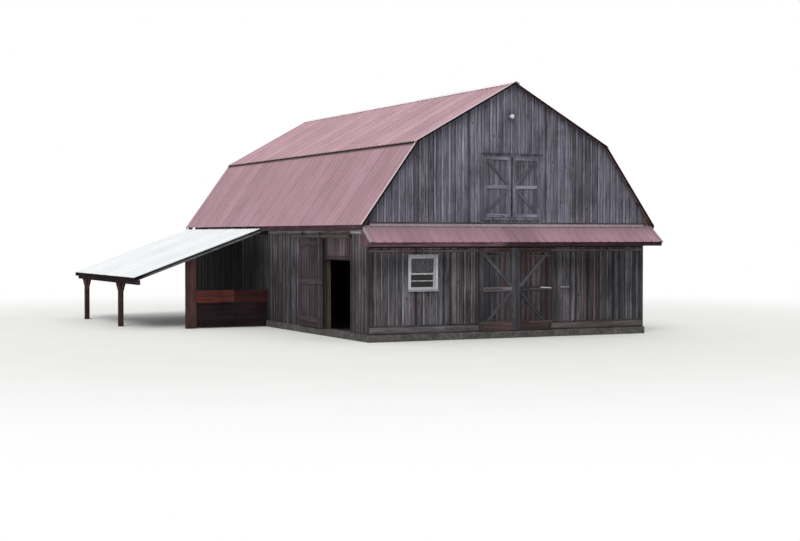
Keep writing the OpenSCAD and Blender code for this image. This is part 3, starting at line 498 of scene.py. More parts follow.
# painted dark for the deep shade under the lean-to
stallBrown = woodLook(
    (0.0276, 0.0162, 0.0209), (0.0124, 0.00675, 0.00855), (0.105, 0.0287, 0.0216), (0.048, 0.0125, 0.009),
    (0.007, 0.005, 0.005), stained=0.0, spread=0.25, edge=0.3, sheen=0.04,
    splash=(0.3, (0.022, 0.016, 0.014)))
redWood = woodLook(
    (0.0744, 0.0345, 0.0333), (0.0312, 0.0132, 0.0129), (0.072, 0.0575, 0.0552), (0.0336, 0.0242, 0.023),
    (0.009, 0.006, 0.006), stained=0.25, spread=0.25, splash=(0.4, (0.026, 0.019, 0.016)))
trimRed = woodLook(
    (0.158, 0.082, 0.105), (0.074, 0.034, 0.045), (0.14, 0.11, 0.115), (0.07, 0.05, 0.053),
    (0.012, 0.007, 0.007), spread=0.15, sheen=0.05, run=(-0.75, -0.45, 0.95, 0.32))
# rake boards painted near-black for the shadow line under the rake
trimBlack = woodLook(
    (0.018, 0.011, 0.013), (0.007, 0.004, 0.005), (0.04, 0.02, 0.02), (0.02, 0.009, 0.009),
    (0.006, 0.004, 0.004), sheen=0.0)
# eave fascias painted dark for the shade under the eaves, darker still towards the lean-to's outer eave
fasciaRed = woodLook(
    (0.088, 0.052, 0.062), (0.038, 0.021, 0.026), (0.1, 0.07, 0.075), (0.045, 0.03, 0.032),
    (0.012, 0.007, 0.008), sheen=0.03, run=(-8.5, -5.5, 0.15, 1.0))
rafterGrey = woodLook(
    (0.062, 0.063, 0.064), (0.03, 0.031, 0.032), (0.06, 0.05, 0.05), (0.03, 0.024, 0.024),
    (0.01, 0.009, 0.009), sheen=0.0, run=(-8.9, -8.2, 0.15, 1.0), lit=(4.9735, 0.36785, 0.07, 0.09, 3.4))
# beams and brackets painted dark for the shade they stand in
shadeBrown = woodLook(
    (0.045, 0.032, 0.034), (0.018, 0.012, 0.013), (0.05, 0.045, 0.044), (0.024, 0.02, 0.02),
    (0.009, 0.007, 0.006), stained=0.3, sheen=0.02)
innerBrown = woodLook(
    (0.17, 0.125, 0.09), (0.075, 0.052, 0.037), (0.13, 0.11, 0.095), (0.06, 0.048, 0.04),
    (0.02, 0.014, 0.01), stained=0.3, edge=0.4, splash=(0.2, (0.05, 0.042, 0.032)))
loftHead = (5.27, 5.29)        # the side trim is painted darker above this height, as shade under the head

wood = {key: woodFinish(*values) for key, values in {
    "gable": ("gableBoards", gableGrey),
    "ground": ("groundBoards", groundGrey),
    "doors": ("doorBoards", doorGrey),
    "loftDoors": ("loftDoorBoards", dict(gableGrey, edge=0.2, spread=0.15)),
    "side": ("sideBoards", sideGrey),
    "stall": ("stallBoards", stallBrown),
    "redPosts": ("redPosts", redWood, "Z"),
    "trimAcross": ("trimAcross", trimRed, "X"),
    "fascia": ("eaveFascia", fasciaRed, "Y"),
    "rafters": ("greyRafters", rafterGrey, "X"),
    "blackAcross": ("blackTrimAcross", trimBlack, "X"),
    "shadeY": ("darkTimberAlong", dict(shadeBrown, pale=(0.048, 0.028, 0.036),
                                       dark=(0.019, 0.011, 0.0145)), "Y"),
    "shadeZ": ("darkTimberUpright", shadeBrown, "Z"),
    "inner": ("innerBoards", innerBrown),
    "innerX": ("innerTimberAcross", innerBrown, "X"),
    "innerY": ("innerTimberAlong", innerBrown, "Y"),
    "innerZ": ("innerTimberUpright", innerBrown, "Z"),
    "loftTrim": ("loftTrim", dict(gableGrey, rise=(*loftHead, 1.0, 0.5)), "Z"),
}.items()}

# Roof paints: marks are stretches of another colour along an axis
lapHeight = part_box("roof_upper_left")[0].z
roofPaint = {"firstRib": ribs["barn"], "sheet": 0.915, "spread": 0.06, "dirtAndShade": (0.13, 0.08, 0.085),
             "dirty": 0.3, "ribShadeAndDirt": 0.14, "seamDirt": 0.22, "rusty": 0.5, "rust": (0.17, 0.06, 0.03),
             "gloss": 0.42}
rakeRim = ("Y", -0.1, -0.08, 0.7, 0.0, (0.62, 0.53, 0.56))        # bare folded edge over the front rake
# painted shadow at the knee: on the upper sheets' foot and on the lower sheets under the lap
lapFootShadow = ("Z", lapHeight + 0.015, lapHeight + 0.04, 0.75, 0.0, (0.06, 0.014, 0.02))
lapShadow = ("Z", lapHeight - 0.11, lapHeight - 0.05, 0.0, 0.92, (0.035, 0.008, 0.012))
pentHeadGrey = ("Z", 2.95, 3.25, 0.0, 0.75, (0.215, 0.16, 0.178))
capPaint = dict(roofPaint, sheet=3.05, ribShadeAndDirt=0.0)

metal = {key: metalFinish(*values) for key, values in {
    "upper": ("upperRoofPaint", dict(
        roofPaint, paint=(0.378, 0.203, 0.248), faded=(0.504, 0.312, 0.368), marks=(lapFootShadow, rakeRim))),
    "lower": ("lowerRoofPaint", dict(
        roofPaint, paint=(0.302, 0.155, 0.191), faded=(0.403, 0.233, 0.282), marks=(lapShadow, rakeRim))),
    "pent": ("pentRoofPaint", dict(
        roofPaint, firstRib=ribs["pent"], paint=(0.285, 0.15, 0.19), faded=(0.34, 0.2, 0.245), ribShadeAndDirt=0.1,
        seamDirt=0.06, marks=(pentHeadGrey,), patch=(-0.5, 0.6, 0.1, 0.8)), "X"),
    # ridge cap painted pale for its own paint and for a painted highlight along the ridge
    "cap": ("ridgeCapPaint", dict(capPaint, paint=(0.78, 0.7, 0.71), faded=(0.86, 0.83, 0.83))),
    "flashing": ("flashingPaint", dict(
        capPaint, paint=(0.25, 0.185, 0.205), faded=(0.33, 0.26, 0.285)), "X"),
    "white": ("whiteRoofPaint", dict(
        roofPaint, firstRib=ribs["leanTo"], spread=0.03, paint=(0.74, 0.77, 0.79), faded=(0.84, 0.86, 0.87),
        dirtAndShade=(0.5, 0.5, 0.48), dirty=0.2, rusty=0.2, ribShadeAndDirt=0.3, seamDirt=0.2, gloss=0.35)),
}.items()}

sashPaint = paintFinish("sashPaint", {
    "paint": (0.52, 0.52, 0.55), "shade": (0.4, 0.4, 0.43), "grime": (0.16, 0.16, 0.165), "worn": 0.6,
    "under": (0.1, 0.095, 0.095)})
# paint toned down for grime and for painted shade under the pent
whitePaint = paintFinish("whiteWindowPaint", {
    "paint": (0.56, 0.56, 0.58), "shade": (0.42, 0.42, 0.44), "grime": (0.25, 0.245, 0.24), "worn": 0.62,
    "under": (0.14, 0.13, 0.125), "marks": ((1.44, 1.475, 0.5, 1.0), (2.33, 2.37, 1.0, 0.75))})
opalGlobe = {"paint": (0.66, 0.66, 0.68), "shade": (0.6, 0.6, 0.62), "grime": (0.6, 0.6, 0.57), "worn": 0.9,
             "under": (0.5, 0.5, 0.48)}
rusty = {"rustDark": (0.05, 0.026, 0.02), "rust": (0.1, 0.055, 0.04)}
strapIron = ironFinish("strapIron", dict(rusty, dark=(0.035, 0.031, 0.031), pale=(0.09, 0.083, 0.081),
                                         rustFrom=0.5))
darkIron = ironFinish("darkIron", dict(rusty, dark=(0.03, 0.028, 0.026), pale=(0.09, 0.085, 0.08),
                                       rustFrom=0.48))
zincIron = ironFinish("zincIron", dict(rusty, dark=(0.35, 0.35, 0.36), pale=(0.6, 0.6, 0.6), rustFrom=0.7))
stone = stoneFinish("footingStone", {
    "squeeze": (1, 1, 1.7), "scale": 3.4, "dark": (0.045, 0.042, 0.041), "pale": (0.1, 0.094, 0.09),
    "mortar": (0.09, 0.085, 0.08), "moss": (0.04, 0.043, 0.026), "grit": (0.035, 0.033, 0.031)})
# the lower sash stands deeper in shade
glass = glassFinish("windowGlass", {"dark": (0.16, 0.16, 0.2), "pale": (0.27, 0.27, 0.33),
                                    "rise": (1.88, 1.92, 0.12, 1.0)})
print("finishes mixed")


# Walls

wallSizes = {
    "boardWidth": 0.225,        # usual width of a wall board
    "boardDepth": 0.0165,
    "stripWidth": 0.052,        # cover strips over the joints
    "stripDepth": 0.0115,
    "cornerWidth": 0.11,
    "gap": 0.006,
    "stripShare": 0.85,         # how many joints still have their strip
    "stripLight": 1.25,         # strips are paler than the boards, in part a painted highlight
    "cornerLight": 0.68,
    "butted": 0.15,             # how many tall boards are laid in two lengths
    "tall": 2.5,
}
wallBase = {
    "slot": "grey_boards", "finish": "ground", "inward": back, "face": (0, 0, 0), "sizes": {}, "stain": 0.0,
    "light": 1.0, "cornerTone": 0.35,
    "zones": [],        # from, to, and the stain and light of the boards between
    "belts": [],        # boards laid across: from, to, foot, top, stain, light
    "corners": [],      # edge, side on which the board lies, foot, top
    "cuts": [],
}


def besideBelts(low, high, belts, place):        # what is left of low..high where belts cross that place
    spans = [(low, high)]
    for belt in belts:
        if belt[0] < place < belt[1]:
            spans = [part for foot, top in spans
                     for part in ((foot, min(top, belt[2] - 0.002)), (max(foot, belt[3] + 0.002), top))
                     if part[1] - part[0] > 0.03]
    return spans


def zoneAt(wall, place):
    values = [wall["stain"], wall["light"]]
    for low, high, *own in wall["zones"]:
        if low < place < high:
            values = own
    return values


def layWall(name, wall):
    sizes = dict(wallSizes, **wall["sizes"])
    inward, origin, belts = wall["inward"], Vector(wall["face"]), wall["belts"]
    along = inward.cross(up)
    stripLevel = inward * (sizes["stripDepth"] / 2 + 0.0002)
    boardsLaid, stripsLaid, joints = [], [], []

    def layBoard(middle, wide, foot, top):
        level = sizes["stripDepth"] + sizes["boardDepth"] / 2 + 0.001 + dice.uniform(-0.0004, 0.0008)
        base = origin + along * middle + inward * level
        boardsLaid.append(layBar(dice.choice(planks), base + up * foot, base + up * top, inward, wide,
                                 sizes["boardDepth"], dice.uniform(0, 0.8), *zoneAt(wall, middle)))

    def layStrip(board, start, end, wide, *look):
        stripsLaid.append(layBar(board, start, end, inward, wide, sizes["stripDepth"], *look))

    for number, (first, last, ranges) in enumerate(wall["stretches"]):
        count = max(1, round((last - first) / sizes["boardWidth"]))
        shares = [dice.uniform(0.8, 1.2) for i in range(count)]
        edges = [first]
        for share in shares:
            edges.append(edges[-1] + share * (last - first) / sum(shares))
        for leftEdge, rightEdge in zip(edges, edges[1:]):
            middle = (leftEdge + rightEdge) / 2
            for low, high in ranges:
                pieces = [(low, high)]
                if high - low > sizes["tall"] and dice.random() < sizes["butted"]:
                    split = dice.choice((low + 0.4 * (high - low), low + 0.55 * (high - low)))
                    pieces = [(low, split - 0.002), (split + 0.002, high)]
                for foot, top in pieces:
                    layBoard(middle, rightEdge - leftEdge - sizes["gap"], foot, top)
        joints += [(edge, ranges) for edge in edges[1:-1]]
        following = wall["stretches"][number + 1:number + 2]
        if following and following[0][0] == last:        # a strip where both stretches have boards
            others = following[0][2]
            shared = [span for span in ranges if span in others]
            shared += [(max(a[0], b[0]), min(a[1], b[1])) for a in ranges for b in others
                       if a != b and min(a[1], b[1]) - max(a[0], b[0]) > 0.05]
            joints.append((last, shared))
    for edge, ranges in joints:
        if dice.random() > sizes["stripShare"]:
            continue
        lean, wide, tone = dice.uniform(-0.002, 0.002), dice.uniform(0.85, 1.2), dice.uniform(0.7, 1)
        stain, light = zoneAt(wall, edge)
        base = origin + along * edge + stripLevel
        for low, high in ranges:
            high -= dice.uniform(0, 0.02) * (high - low > 1)
            for foot, top in besideBelts(low, high, belts, edge):
                layStrip(dice.choice(strips), base + up * foot, base + up * top + along * lean,
                         sizes["stripWidth"] * wide, tone, 0.5 * stain, light * sizes["stripLight"])
    for edge, side, low, high in wall["corners"]:
        wide = sizes["cornerWidth"]
        middle = edge + side * wide / 2
        base = origin + along * middle + stripLevel
        for foot, top in besideBelts(low, high, belts, middle):
            layStrip(planks[0], base + up * foot, base + up * top, wide - 0.004, wall["cornerTone"], 0.4,
                     sizes["cornerLight"])
    for leftEdge, rightEdge, low, high, stain, light in belts:
        base = origin + up * (low + high) / 2 + stripLevel
        layStrip(planks[0], base + along * leftEdge, base + along * rightEdge, high - low, None, stain, light)
    layers = [joinPieces(boardsLaid, name), joinPieces(stripsLaid, name + "Strips")]
    for point, normal in wall["cuts"]:
        for layer in layers:
            cutOff(layer, point, normal)
    return layers


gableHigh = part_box("front_gable")[1]
outline = [point.co for point in nodes["front_gable"].data.vertices]
ridgePoint = max(outline, key=lambda point: point.z)
kneePoint = max((point for point in outline if 2.5 < point.x < 4.2), key=lambda point: point.z)
sidePoint = max((point for point in outline if point.x > gableHigh.x - 0.001), key=lambda point: point.z)
gableCuts = []
for upper, lower in ((ridgePoint, kneePoint), (kneePoint, sidePoint)):
    slopeX, slopeZ = lower.x - max(upper.x, 0), upper.z - lower.z
    for side in (-1, 1):
        gableCuts.append((Vector((side * lower.x, 0, lower.z)),
                          Vector((side * slopeZ, 0, slopeX)).normalized()))

frontLeft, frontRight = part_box("front_wall_left"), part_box("front_wall_right")
sideFront, sideRear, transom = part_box("left_wall_front"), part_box("left_wall_rear"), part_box("side_transom")
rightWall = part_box("right_wall")
foot, doorHead, wallTop, ridgeTop = frontLeft[0].z, frontLeft[1].z, rightWall[1].z, gableHigh.z
halfWidth, barnEnd = frontRight[1].x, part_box("rear_wall")[1].y
leftSpan, rightSpan = (-halfWidth, frontLeft[1].x), (frontRight[0].x, halfWidth)
wholeSpan, gableRise = (-halfWidth, halfWidth), (doorHead + 0.003, ridgeTop)
window = (-3.335, -2.485, 1.44 - 0.002, 2.4 + 0.002)        # left, right, foot, top
loftLow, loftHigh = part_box("loft_doors")
loft = (loftLow.x - 0.008, loftHigh.x + 0.008, loftLow.z - 0.008 - 0.002, loftHigh.z + 0.008 + 0.002)
skirtTop, pentBand = foot + 0.25, (2.5, 2.575)        # skirting board, and the band under the pent roof
frieze = (3.01, 3.13)        # board under the left eave, painted pale as light against the eave's shade
rearBelt, rearJoint = (2.83, 2.95), (2.89, 2.893)
transomFoot, transomTop = transom[0].z, transom[1].z
cornerWide = wallSizes["cornerWidth"]


def alongSide(box):        # from the rear to the front, as seen from the left
    return -box[1].y, -box[0].y


def bothCorners(first, last, low, high):
    return [(first, 1, low, high), (last, -1, low, high)]


def aroundHole(first, last, foot, top, hole):
    near, far, low, high = hole
    return [(first, near, [(foot, top)]), (near, far, [(foot, low), (high, top)]), (far, last, [(foot, top)])]


frontSpan, rearSpan, transomSpan = alongSide(sideFront), alongSide(sideRear), alongSide(transom)
leftSide = {"inward": right, "face": (-halfWidth, 0, 0)}
walls = {
    "frontBoardsLeft": {
        "node": "front_wall_left", "cornerTone": 0.3,
        "stretches": aroundHole(*leftSpan, foot, doorHead, window),
        "belts": [(*leftSpan, foot, skirtTop, 0.2, 1.45), (*leftSpan, *pentBand, 1.0, 1.15)],
        "zones": [(-halfWidth, -4.3, 0.6, 0.95), (-1.7, -1.1, 0.35, 1.0)],
        "corners": bothCorners(*leftSpan, foot, doorHead)},
    "frontBoardsRight": {
        "node": "front_wall_right", "light": 0.55, "stretches": [(*rightSpan, [(foot, doorHead)])],
        "belts": [(*rightSpan, foot, skirtTop, 0.2, 0.98), (*rightSpan, *pentBand, 1.0, 1.1)],
        "zones": [(1.6, 2.3, 0.0, 0.95), (2.33, 2.62, 0.9, 0.62), (2.7, 3.0, 0.9, 0.6)],
        "corners": bothCorners(*rightSpan, foot, doorHead)},
    "gableBoards": {
        "node": "front_gable", "finish": "gable", "stretches": aroundHole(*wholeSpan, *gableRise, loft),
        "sizes": {"stripShare": 0.9, "butted": 0.1}, "zones": [(-1.7, 1.8, 0.0, 1.1)], "cuts": gableCuts,
        # the lower belt is a ledger board under the pent, painted dark for the pent's shade
        "belts": [(*wholeSpan, 3.302, 3.345, 1.0, 0.75), (*wholeSpan, 2.625, 2.8, 1.0, 0.33)]},
    "leftBoardsFront": {
        # light: painted shade of the side wall facing away from the light
        **leftSide, "node": "left_wall_front", "light": 0.7, "stain": 0.3,
        "stretches": [(*frontSpan, [(foot, wallTop)])], "belts": [(*frontSpan, *frieze, 0.3, 1.9)],
        "corners": bothCorners(*frontSpan, foot, wallTop)[::-1]},
    "leftBoardsRear": {
        # light and zones: painted shade of the side wall, deepest under the lean-to
        **leftSide, "node": "left_wall_rear", "light": 0.67, "stretches": [(*rearSpan, [(foot, wallTop)])],
        "belts": [(-7.9, rearSpan[1], *frieze, 0.3, 1.9)],
        "zones": [(rearSpan[0], -10.5, 0.0, 0.11), (-10.5, -8, 0.0, 0.32)],
        "corners": bothCorners(*rearSpan, foot, wallTop)},
    "transomBoards": {
        **leftSide, "node": "side_transom", "slot": "red_boards", "finish": "side", "light": 2.0,
        "sizes": {"boardWidth": 0.2, "stripShare": 0.0},
        "stretches": [(*transomSpan, [(transomFoot, transomTop)])],
        "belts": [(transomSpan[0] + cornerWide, transomSpan[1] - cornerWide, transomFoot,
                   transomFoot + 0.12, 0.5, 1.0), (*transomSpan, *frieze, 0.3, 2.4)],
        "corners": bothCorners(*transomSpan, transomFoot, transomTop), "cornerTone": None},
    "rightBoards": {
        "node": "right_wall", "inward": -right, "face": (halfWidth, 0, 0),
        "stretches": [(rightWall[0].y, rightWall[1].y, [(foot, wallTop)])],
        "corners": bothCorners(rightWall[0].y, rightWall[1].y, foot, wallTop)},
    "rearBoards": {
        "node": "rear_wall", "finish": "gable", "inward": -back, "face": (0, barnEnd, 0), "cuts": gableCuts,
        "stretches": [(*wholeSpan, [(foot, rearJoint[0]), (rearJoint[1], ridgeTop)])],
        "belts": [(*wholeSpan, *rearBelt, 0.3, 1.0)],
        "corners": bothCorners(*wholeSpan, foot, rearBelt[0] - 0.002)},
}
for name, values in walls.items():
    wall = dict(wallBase, **values)
    addPiece(name, layWall(name, wall), "barn", wall["slot"], wood[wall["finish"]], wall["node"])
print("walls boarded")


# Loft floor

floorSizes = {"wide": (0.17, 0.23), "splits": (0.35, 0.5, 0.65), "least": 0.05, "gap": 0.004}
floorLow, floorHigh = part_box("loft_floor")
floorLaid = []
place = floorLow.y
while place < floorHigh.y - floorSizes["least"]:
    wide = min(dice.uniform(*floorSizes["wide"]), floorHigh.y - place)
    split = floorLow.x + dice.choice(floorSizes["splits"]) * (floorHigh.x - floorLow.x)
    for start, end in ((floorLow.x, split - 0.001), (split + 0.001, floorHigh.x)):
        level = Vector((0, place + wide / 2, (floorLow.z + floorHigh.z) / 2))
        floorLaid.append(layBar(dice.choice(planks), level + right * start, level + right * end, up,
                                wide - floorSizes["gap"], floorHigh.z - floorLow.z - 0.001))
    place += wide
addPiece("loftBoards", floorLaid, "barn", "inner_timber", wood["inner"], "loft_floor")


# Braced door leaves

def makeLeaf(box, side, look, lit):        # lit is the kind of bar that stands out pale
    # planks at the back, then stiles, rails and two braces that meet at the middle of the meeting stile
    hinge, low, front = box[0 if side > 0 else 1].x, box[0].z, box[0].y
    wide, tall, count = look["wide"], box[1].z - low, look["planks"]
    stile, braceWide, face, deep, kick = [look[key] for key in ("stile", "bar", "face", "board", "kick")]
    frameY, plankY = front + face / 2, front + face + deep / 2
    seam = 0.001
    laid = []

    def at(along, height, y=frameY):
        return Vector((hinge + side * along, y, low + height))

    def addBar(board, start, end, across, through, tone, stain, light):
        laid.append(layBar(board, start, end, back, across, through, tone, stain, light * look["light"]))
        return laid[-1]

    for number in range(count):
        middle = (number + 0.5) * wide / count
        addBar(dice.choice(planks), at(middle, 0, plankY), at(middle, tall, plankY), wide / count - 0.005,
               deep - seam, None, look["plankStain"], 0.95)
    for middle in (stile / 2, wide - stile / 2):
        addBar(bar, at(middle, 0), at(middle, tall), stile, face, None, 0, 1.05)
    for middle, high, stain in ((kick / 2, kick, look["stain"]), (tall / 2, stile, 0),
                                (tall - stile / 2, stile, look["stain"])):
        tone, light = (1.0, 1.35) if lit == "rail" and not stain else (None, 1.05)
        addBar(bar, at(stile + seam, middle), at(wide - stile - seam, middle), high - 0.002, face - seam,
               tone, stain, light)
    for outer, sign in ((stile / 2, -1), (tall - stile / 2, 1)):
        begin, end = at(stile / 2, outer), at(wide - stile / 2, tall / 2)
        reach = (end - begin).normalized() * braceWide
        light = 0.95 if lit == "brace" and sign > 0 else look["brace"]
        brace = addBar(bar, begin - reach, end + reach, braceWide, face - 0.002, 1.0, 0, light)
        cutOff(brace, at(stile + seam, 0), right * -side)
        cutOff(brace, at(wide - stile - seam, 0), right * side)
        cutOff(brace, at(0, tall / 2 + sign * (stile / 2 + seam)), up * -sign)
        cutOff(brace, at(0, kick + seam if sign < 0 else tall - stile - seam), up * sign)
    return laid


leftLeaf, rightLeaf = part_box("door_left"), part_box("door_right")
doorLook = {"wide": leftLeaf[1].x - leftLeaf[0].x, "stile": 0.125, "bar": 0.105, "face": 0.025,
            "board": 0.022, "kick": 0.28, "stain": 0.9, "planks": 7, "light": 1.12, "plankStain": 0.0,
            "brace": 0.64}
addPiece("doorLeft", makeLeaf(leftLeaf, 1, doorLook, "rail"), "left_leaf", "grey_boards", wood["doors"],
         "door_left")
addPiece("doorRight", makeLeaf(rightLeaf, -1, dict(doorLook, light=0.84, plankStain=0.45), "brace"),
         "right_leaf", "grey_boards", wood["doors"], "door_right")
loftLook = dict(doorLook, wide=(loftHigh.x - loftLow.x - 0.05) / 2, stile=0.1, bar=0.085, kick=0.1, stain=0.0,
                planks=5, light=1.0, brace=0.62)
loftLeaves = [part for side in (1, -1) for part in makeLeaf((loftLow, loftHigh), side, loftLook, "rail")]
addPiece("loftDoors", loftLeaves, "barn", "grey_boards", wood["loftDoors"], "loft_doors")
print("door leaves braced")


# Sliding leaf of the side doorway, with its hangers and grooved wheels

slide = {"inner": -4.626, "boardDeep": 0.022, "ledgerDeep": 0.022, "front": 3.15, "rear": 5.05, "foot": 0.22,
         "top": 2.885, "ledgers": (0.37, 1.515, 2.66), "ledgerHigh": 0.15, "hangers": (3.4, 4.8),
         "axle": 3.0253, "rail": -4.648, "wheel": 0.048, "wheelDeep": 0.022, "groove": 0.83, "planks": 9,
         "strapWide": 0.025, "strapDeep": 0.006, "strapLong": 0.3, "bolts": (2.62, 2.7, 2.79)}
slideParts = []
step = (slide["rear"] - slide["front"]) / slide["planks"]
for number in range(slide["planks"]):
    spot = Vector((slide["inner"] - slide["boardDeep"] / 2, slide["front"] + (number + 0.5) * step, 0))
    slideParts.append(layBar(dice.choice(planks), spot + up * slide["foot"], spot + up * slide["top"], right,
                             step - 0.004, slide["boardDeep"] - 0.001))
for low in slide["ledgers"]:
    spot = Vector((slide["inner"] - slide["boardDeep"] - slide["ledgerDeep"] / 2, 0,
                   low + slide["ledgerHigh"] / 2))
    slideParts.append(layBar(bar, spot + back * (slide["front"] + 0.02), spot + back * (slide["rear"] - 0.02),
                             right, slide["ledgerHigh"], slide["ledgerDeep"] - 0.0005))
addPiece("slidingLeaf", slideParts, "sliding_leaf", "red_boards", wood["side"], "side_door")

hangerParts = []
sideways = (0, quarter, 0)
strapFace = slide["inner"] - slide["boardDeep"] - slide["ledgerDeep"]
for y in slide["hangers"]:
    hub, wide = (slide["rail"], y, slide["axle"]), slide["strapWide"]
    strapLow = (strapFace - slide["strapDeep"], y - wide, slide["top"] - slide["strapLong"])
    strapHigh = (strapFace, y + wide, slide["axle"] + wide)
    hangerParts.append(makeBlock("hangerStrap", strapLow, strapHigh, 0.0015))
    wheel = makeRound("hangerWheel", slide["wheel"], slide["wheelDeep"], hub, 32, sideways)
    divideEdges(wheel, 2, lambda a, b: abs(a.x - b.x) > 0.02)
    pick(wheel, "FACE", lambda middle, normal: abs(middle.x - slide["rail"]) < 0.002 and abs(normal.x) < 0.5)
    bpy.ops.mesh.extrude_region_move()
    bpy.ops.transform.resize(value=(1, slide["groove"], slide["groove"]), center_override=hub)
    leaveEdit()
    hangerParts.append(wheel)
    axle = (strapFace + 0.012, y, slide["axle"])
    hangerParts.append(makeRound("axleBolt", 0.011, 0.034, axle, 6, sideways))
    for height in slide["bolts"]:
        hangerParts.append(makeRound("strapBolt", 0.009, 0.005, (strapFace - 0.0075, y, height), 8, sideways))
addPiece("slideHangers", hangerParts, "sliding_leaf", "black_iron", darkIron)
print("sliding leaf hung")


# Lamp under the peak: of base and collar the share of the globe's radius, depth, place and edge

lamp = {"lampBase": (0.75, 0.022, -0.011, 0.005), "lampCollar": (0.55, 0.03, -0.028, 0.004)}
lampMouth = {"share": 0.65, "neck": 0.012}
lampLow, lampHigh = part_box("gable_lamp")
globe = (lampHigh.x - lampLow.x) / 2
lampAt = Vector((lampLow.x + globe, lampLow.y + globe, lampLow.z + globe))
lampParts = [makeRound(name, share * globe, depth, (lampAt.x, y, lampAt.z), 32, (quarter, 0, 0), edge)
             for name, (share, depth, y, edge) in lamp.items()]
smoothPiece(addPiece("lampBase", lampParts, "barn", "white_paint", whitePaint, "gable_lamp"), 40)
clearSelection()
bpy.ops.mesh.primitive_uv_sphere_add(segments=32, ring_count=20, radius=globe, location=lampAt,
                                     rotation=(quarter, 0, 0))
lampGlobe = settle("lampGlobe")
pick(lampGlobe, "FACE", lambda middle, normal: middle.y > lampAt.y + lampMouth["share"] * globe)
bpy.ops.mesh.delete(type="FACE")
bpy.ops.mesh.select_mode(type="EDGE")
bpy.ops.mesh.select_all(action="DESELECT")
bpy.ops.mesh.select_non_manifold()
bpy.ops.mesh.extrude_region_move(TRANSFORM_OT_translate={"value": (0, lampMouth["neck"], 0)})
bpy.ops.mesh.edge_face_add()
leaveEdit()
smoothPiece(lampGlobe, 60)
addPiece("lampGlobe", [lampGlobe], "barn", "white_paint", paintFinish("opalGlobe", opalGlobe))


# Screws along the battens

screwHead = joinPieces([makeRound("screwWasher", 0.0095, 0.002, (0, 0, 0.001), 8),
                        makeRound("screwHex", 0.006, 0.006, (0, 0, 0.0045), 6)], "screwHead")


def setScrews(name, spots, normal, finish, slot="red_metal"):
    tilt = up.rotation_difference(normal).to_matrix().to_4x4()
    laid = []
    for spot in spots:
        mesh = screwHead.data.copy()
        mesh.transform(Matrix.Translation(spot) @ tilt)
        laid.append(addObject("screw", mesh))
    addPiece(name, laid, "barn", slot, finish)


def besideRib(roof, number):
    return ribs[roof] + ribs["step"] * number + ribs["screw"]


roof = {"foot": (4.875, 3.267), "knee": (3.145, 5.65), "top": (0.0, 7.4), "ribs": 52, "lift": 0.0002,
        "lap": 0.06}        # the last row of the lower sheets keeps clear of the upper sheets' lap
for side, word in ((-1, "Left"), (1, "Right")):
    for part, (footX, footZ), (headX, headZ), rows, first, last in (
            ("lower", roof["foot"], roof["knee"], 5, 0.11, 0.11),
            ("upper", roof["knee"], roof["top"], 6, 0.04, 0.09)):
        length = math.hypot(footX - headX, headZ - footZ)
        slope = Vector((-(footX - headX), headZ - footZ)) / length
        normal = Vector((side * slope.y, 0, -slope.x))
        spots = []
        for row in range(rows):
            distance = first + row * (length - first - last) / (rows - 1)
            if part == "lower" and row == rows - 1:
                distance -= roof["lap"]
            x, z = side * (footX + slope.x * distance), footZ + slope.y * distance
            spots += [Vector((x, besideRib("barn", number), z)) + normal * roof["lift"]
                      for number in range(roof["ribs"])]
        setScrews(part + "Screws" + word, spots, normal, metal[part])

pent = {"edge": -0.65, "foot": 2.783, "head": 3.259, "ribs": 31, "rows": (0.06, 0.4, 0.75)}
pentSlope = Vector((0, -pent["edge"], pent["head"] - pent["foot"])).normalized()
pentNormal = Vector((0, -pentSlope.z, pentSlope.y))
spots = [Vector((besideRib("pent", number), pent["edge"], pent["foot"])) + pentSlope * distance
         for distance in pent["rows"] for number in range(pent["ribs"])]
setScrews("pentScrews", spots, pentNormal, metal["pent"])

lean = {"edge": -9.035, "wall": -4.845, "foot": 1.65, "head": 3.1913, "ribs": 25, "rows": 6, "first": 0.105,
        "kept": 0.22}
leanRun = Vector((lean["wall"] - lean["edge"], 0, lean["head"] - lean["foot"]))
leanSlope = leanRun.normalized()
leanNormal = Vector((-leanSlope.z, 0, leanSlope.x))
spots = []
for row in range(lean["rows"]):
    distance = lean["first"] + row * (leanRun.length - lean["kept"]) / (lean["rows"] - 1)
    spots += [Vector((lean["edge"], besideRib("leanTo", number), lean["foot"])) + leanSlope * distance
              for number in range(lean["ribs"])]
setScrews("leanScrews", spots, leanNormal, metal["white"], "white_metal")
print("roof screws set")


# Small pieces of the front and of the lean-to

stallLow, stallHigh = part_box("stall_front")
stall = {"count": 6, "brown": 4, "seam": 0.001, "split": -5.72, "wallGap": 0.04,
         "depth": stallHigh.y - stallLow.y}
stallStep = (stallHigh.z - stallLow.z + stall["seam"]) / stall["count"]
stallParts = []
for number in range(stall["count"]):
    high = stallStep - stall["seam"]
    level = Vector((0, (stallLow.y + stallHigh.y) / 2, stallLow.z + high / 2))
    level.z += number * (high + stall["seam"])
    end = stallHigh.x if number else -halfWidth - stall["wallGap"]
    red = number >= stall["brown"]
    # the lengths right of the split are painted darker for the shade at the stall's end
    for start, stop, stain, light in ((stallLow.x, stall["split"] - 0.002, 0.85, 1.45),
                                      (stall["split"] + 0.002, end, 0.5, 0.75)):
        stallParts.append(layBar(bar, level + right * start, level + right * stop, back, high, stall["depth"],
                                 None, stain * red, light if red else 0.77))
addPiece("stallBoards", stallParts, "barn", "red_boards", wood["stall"], "stall_front")

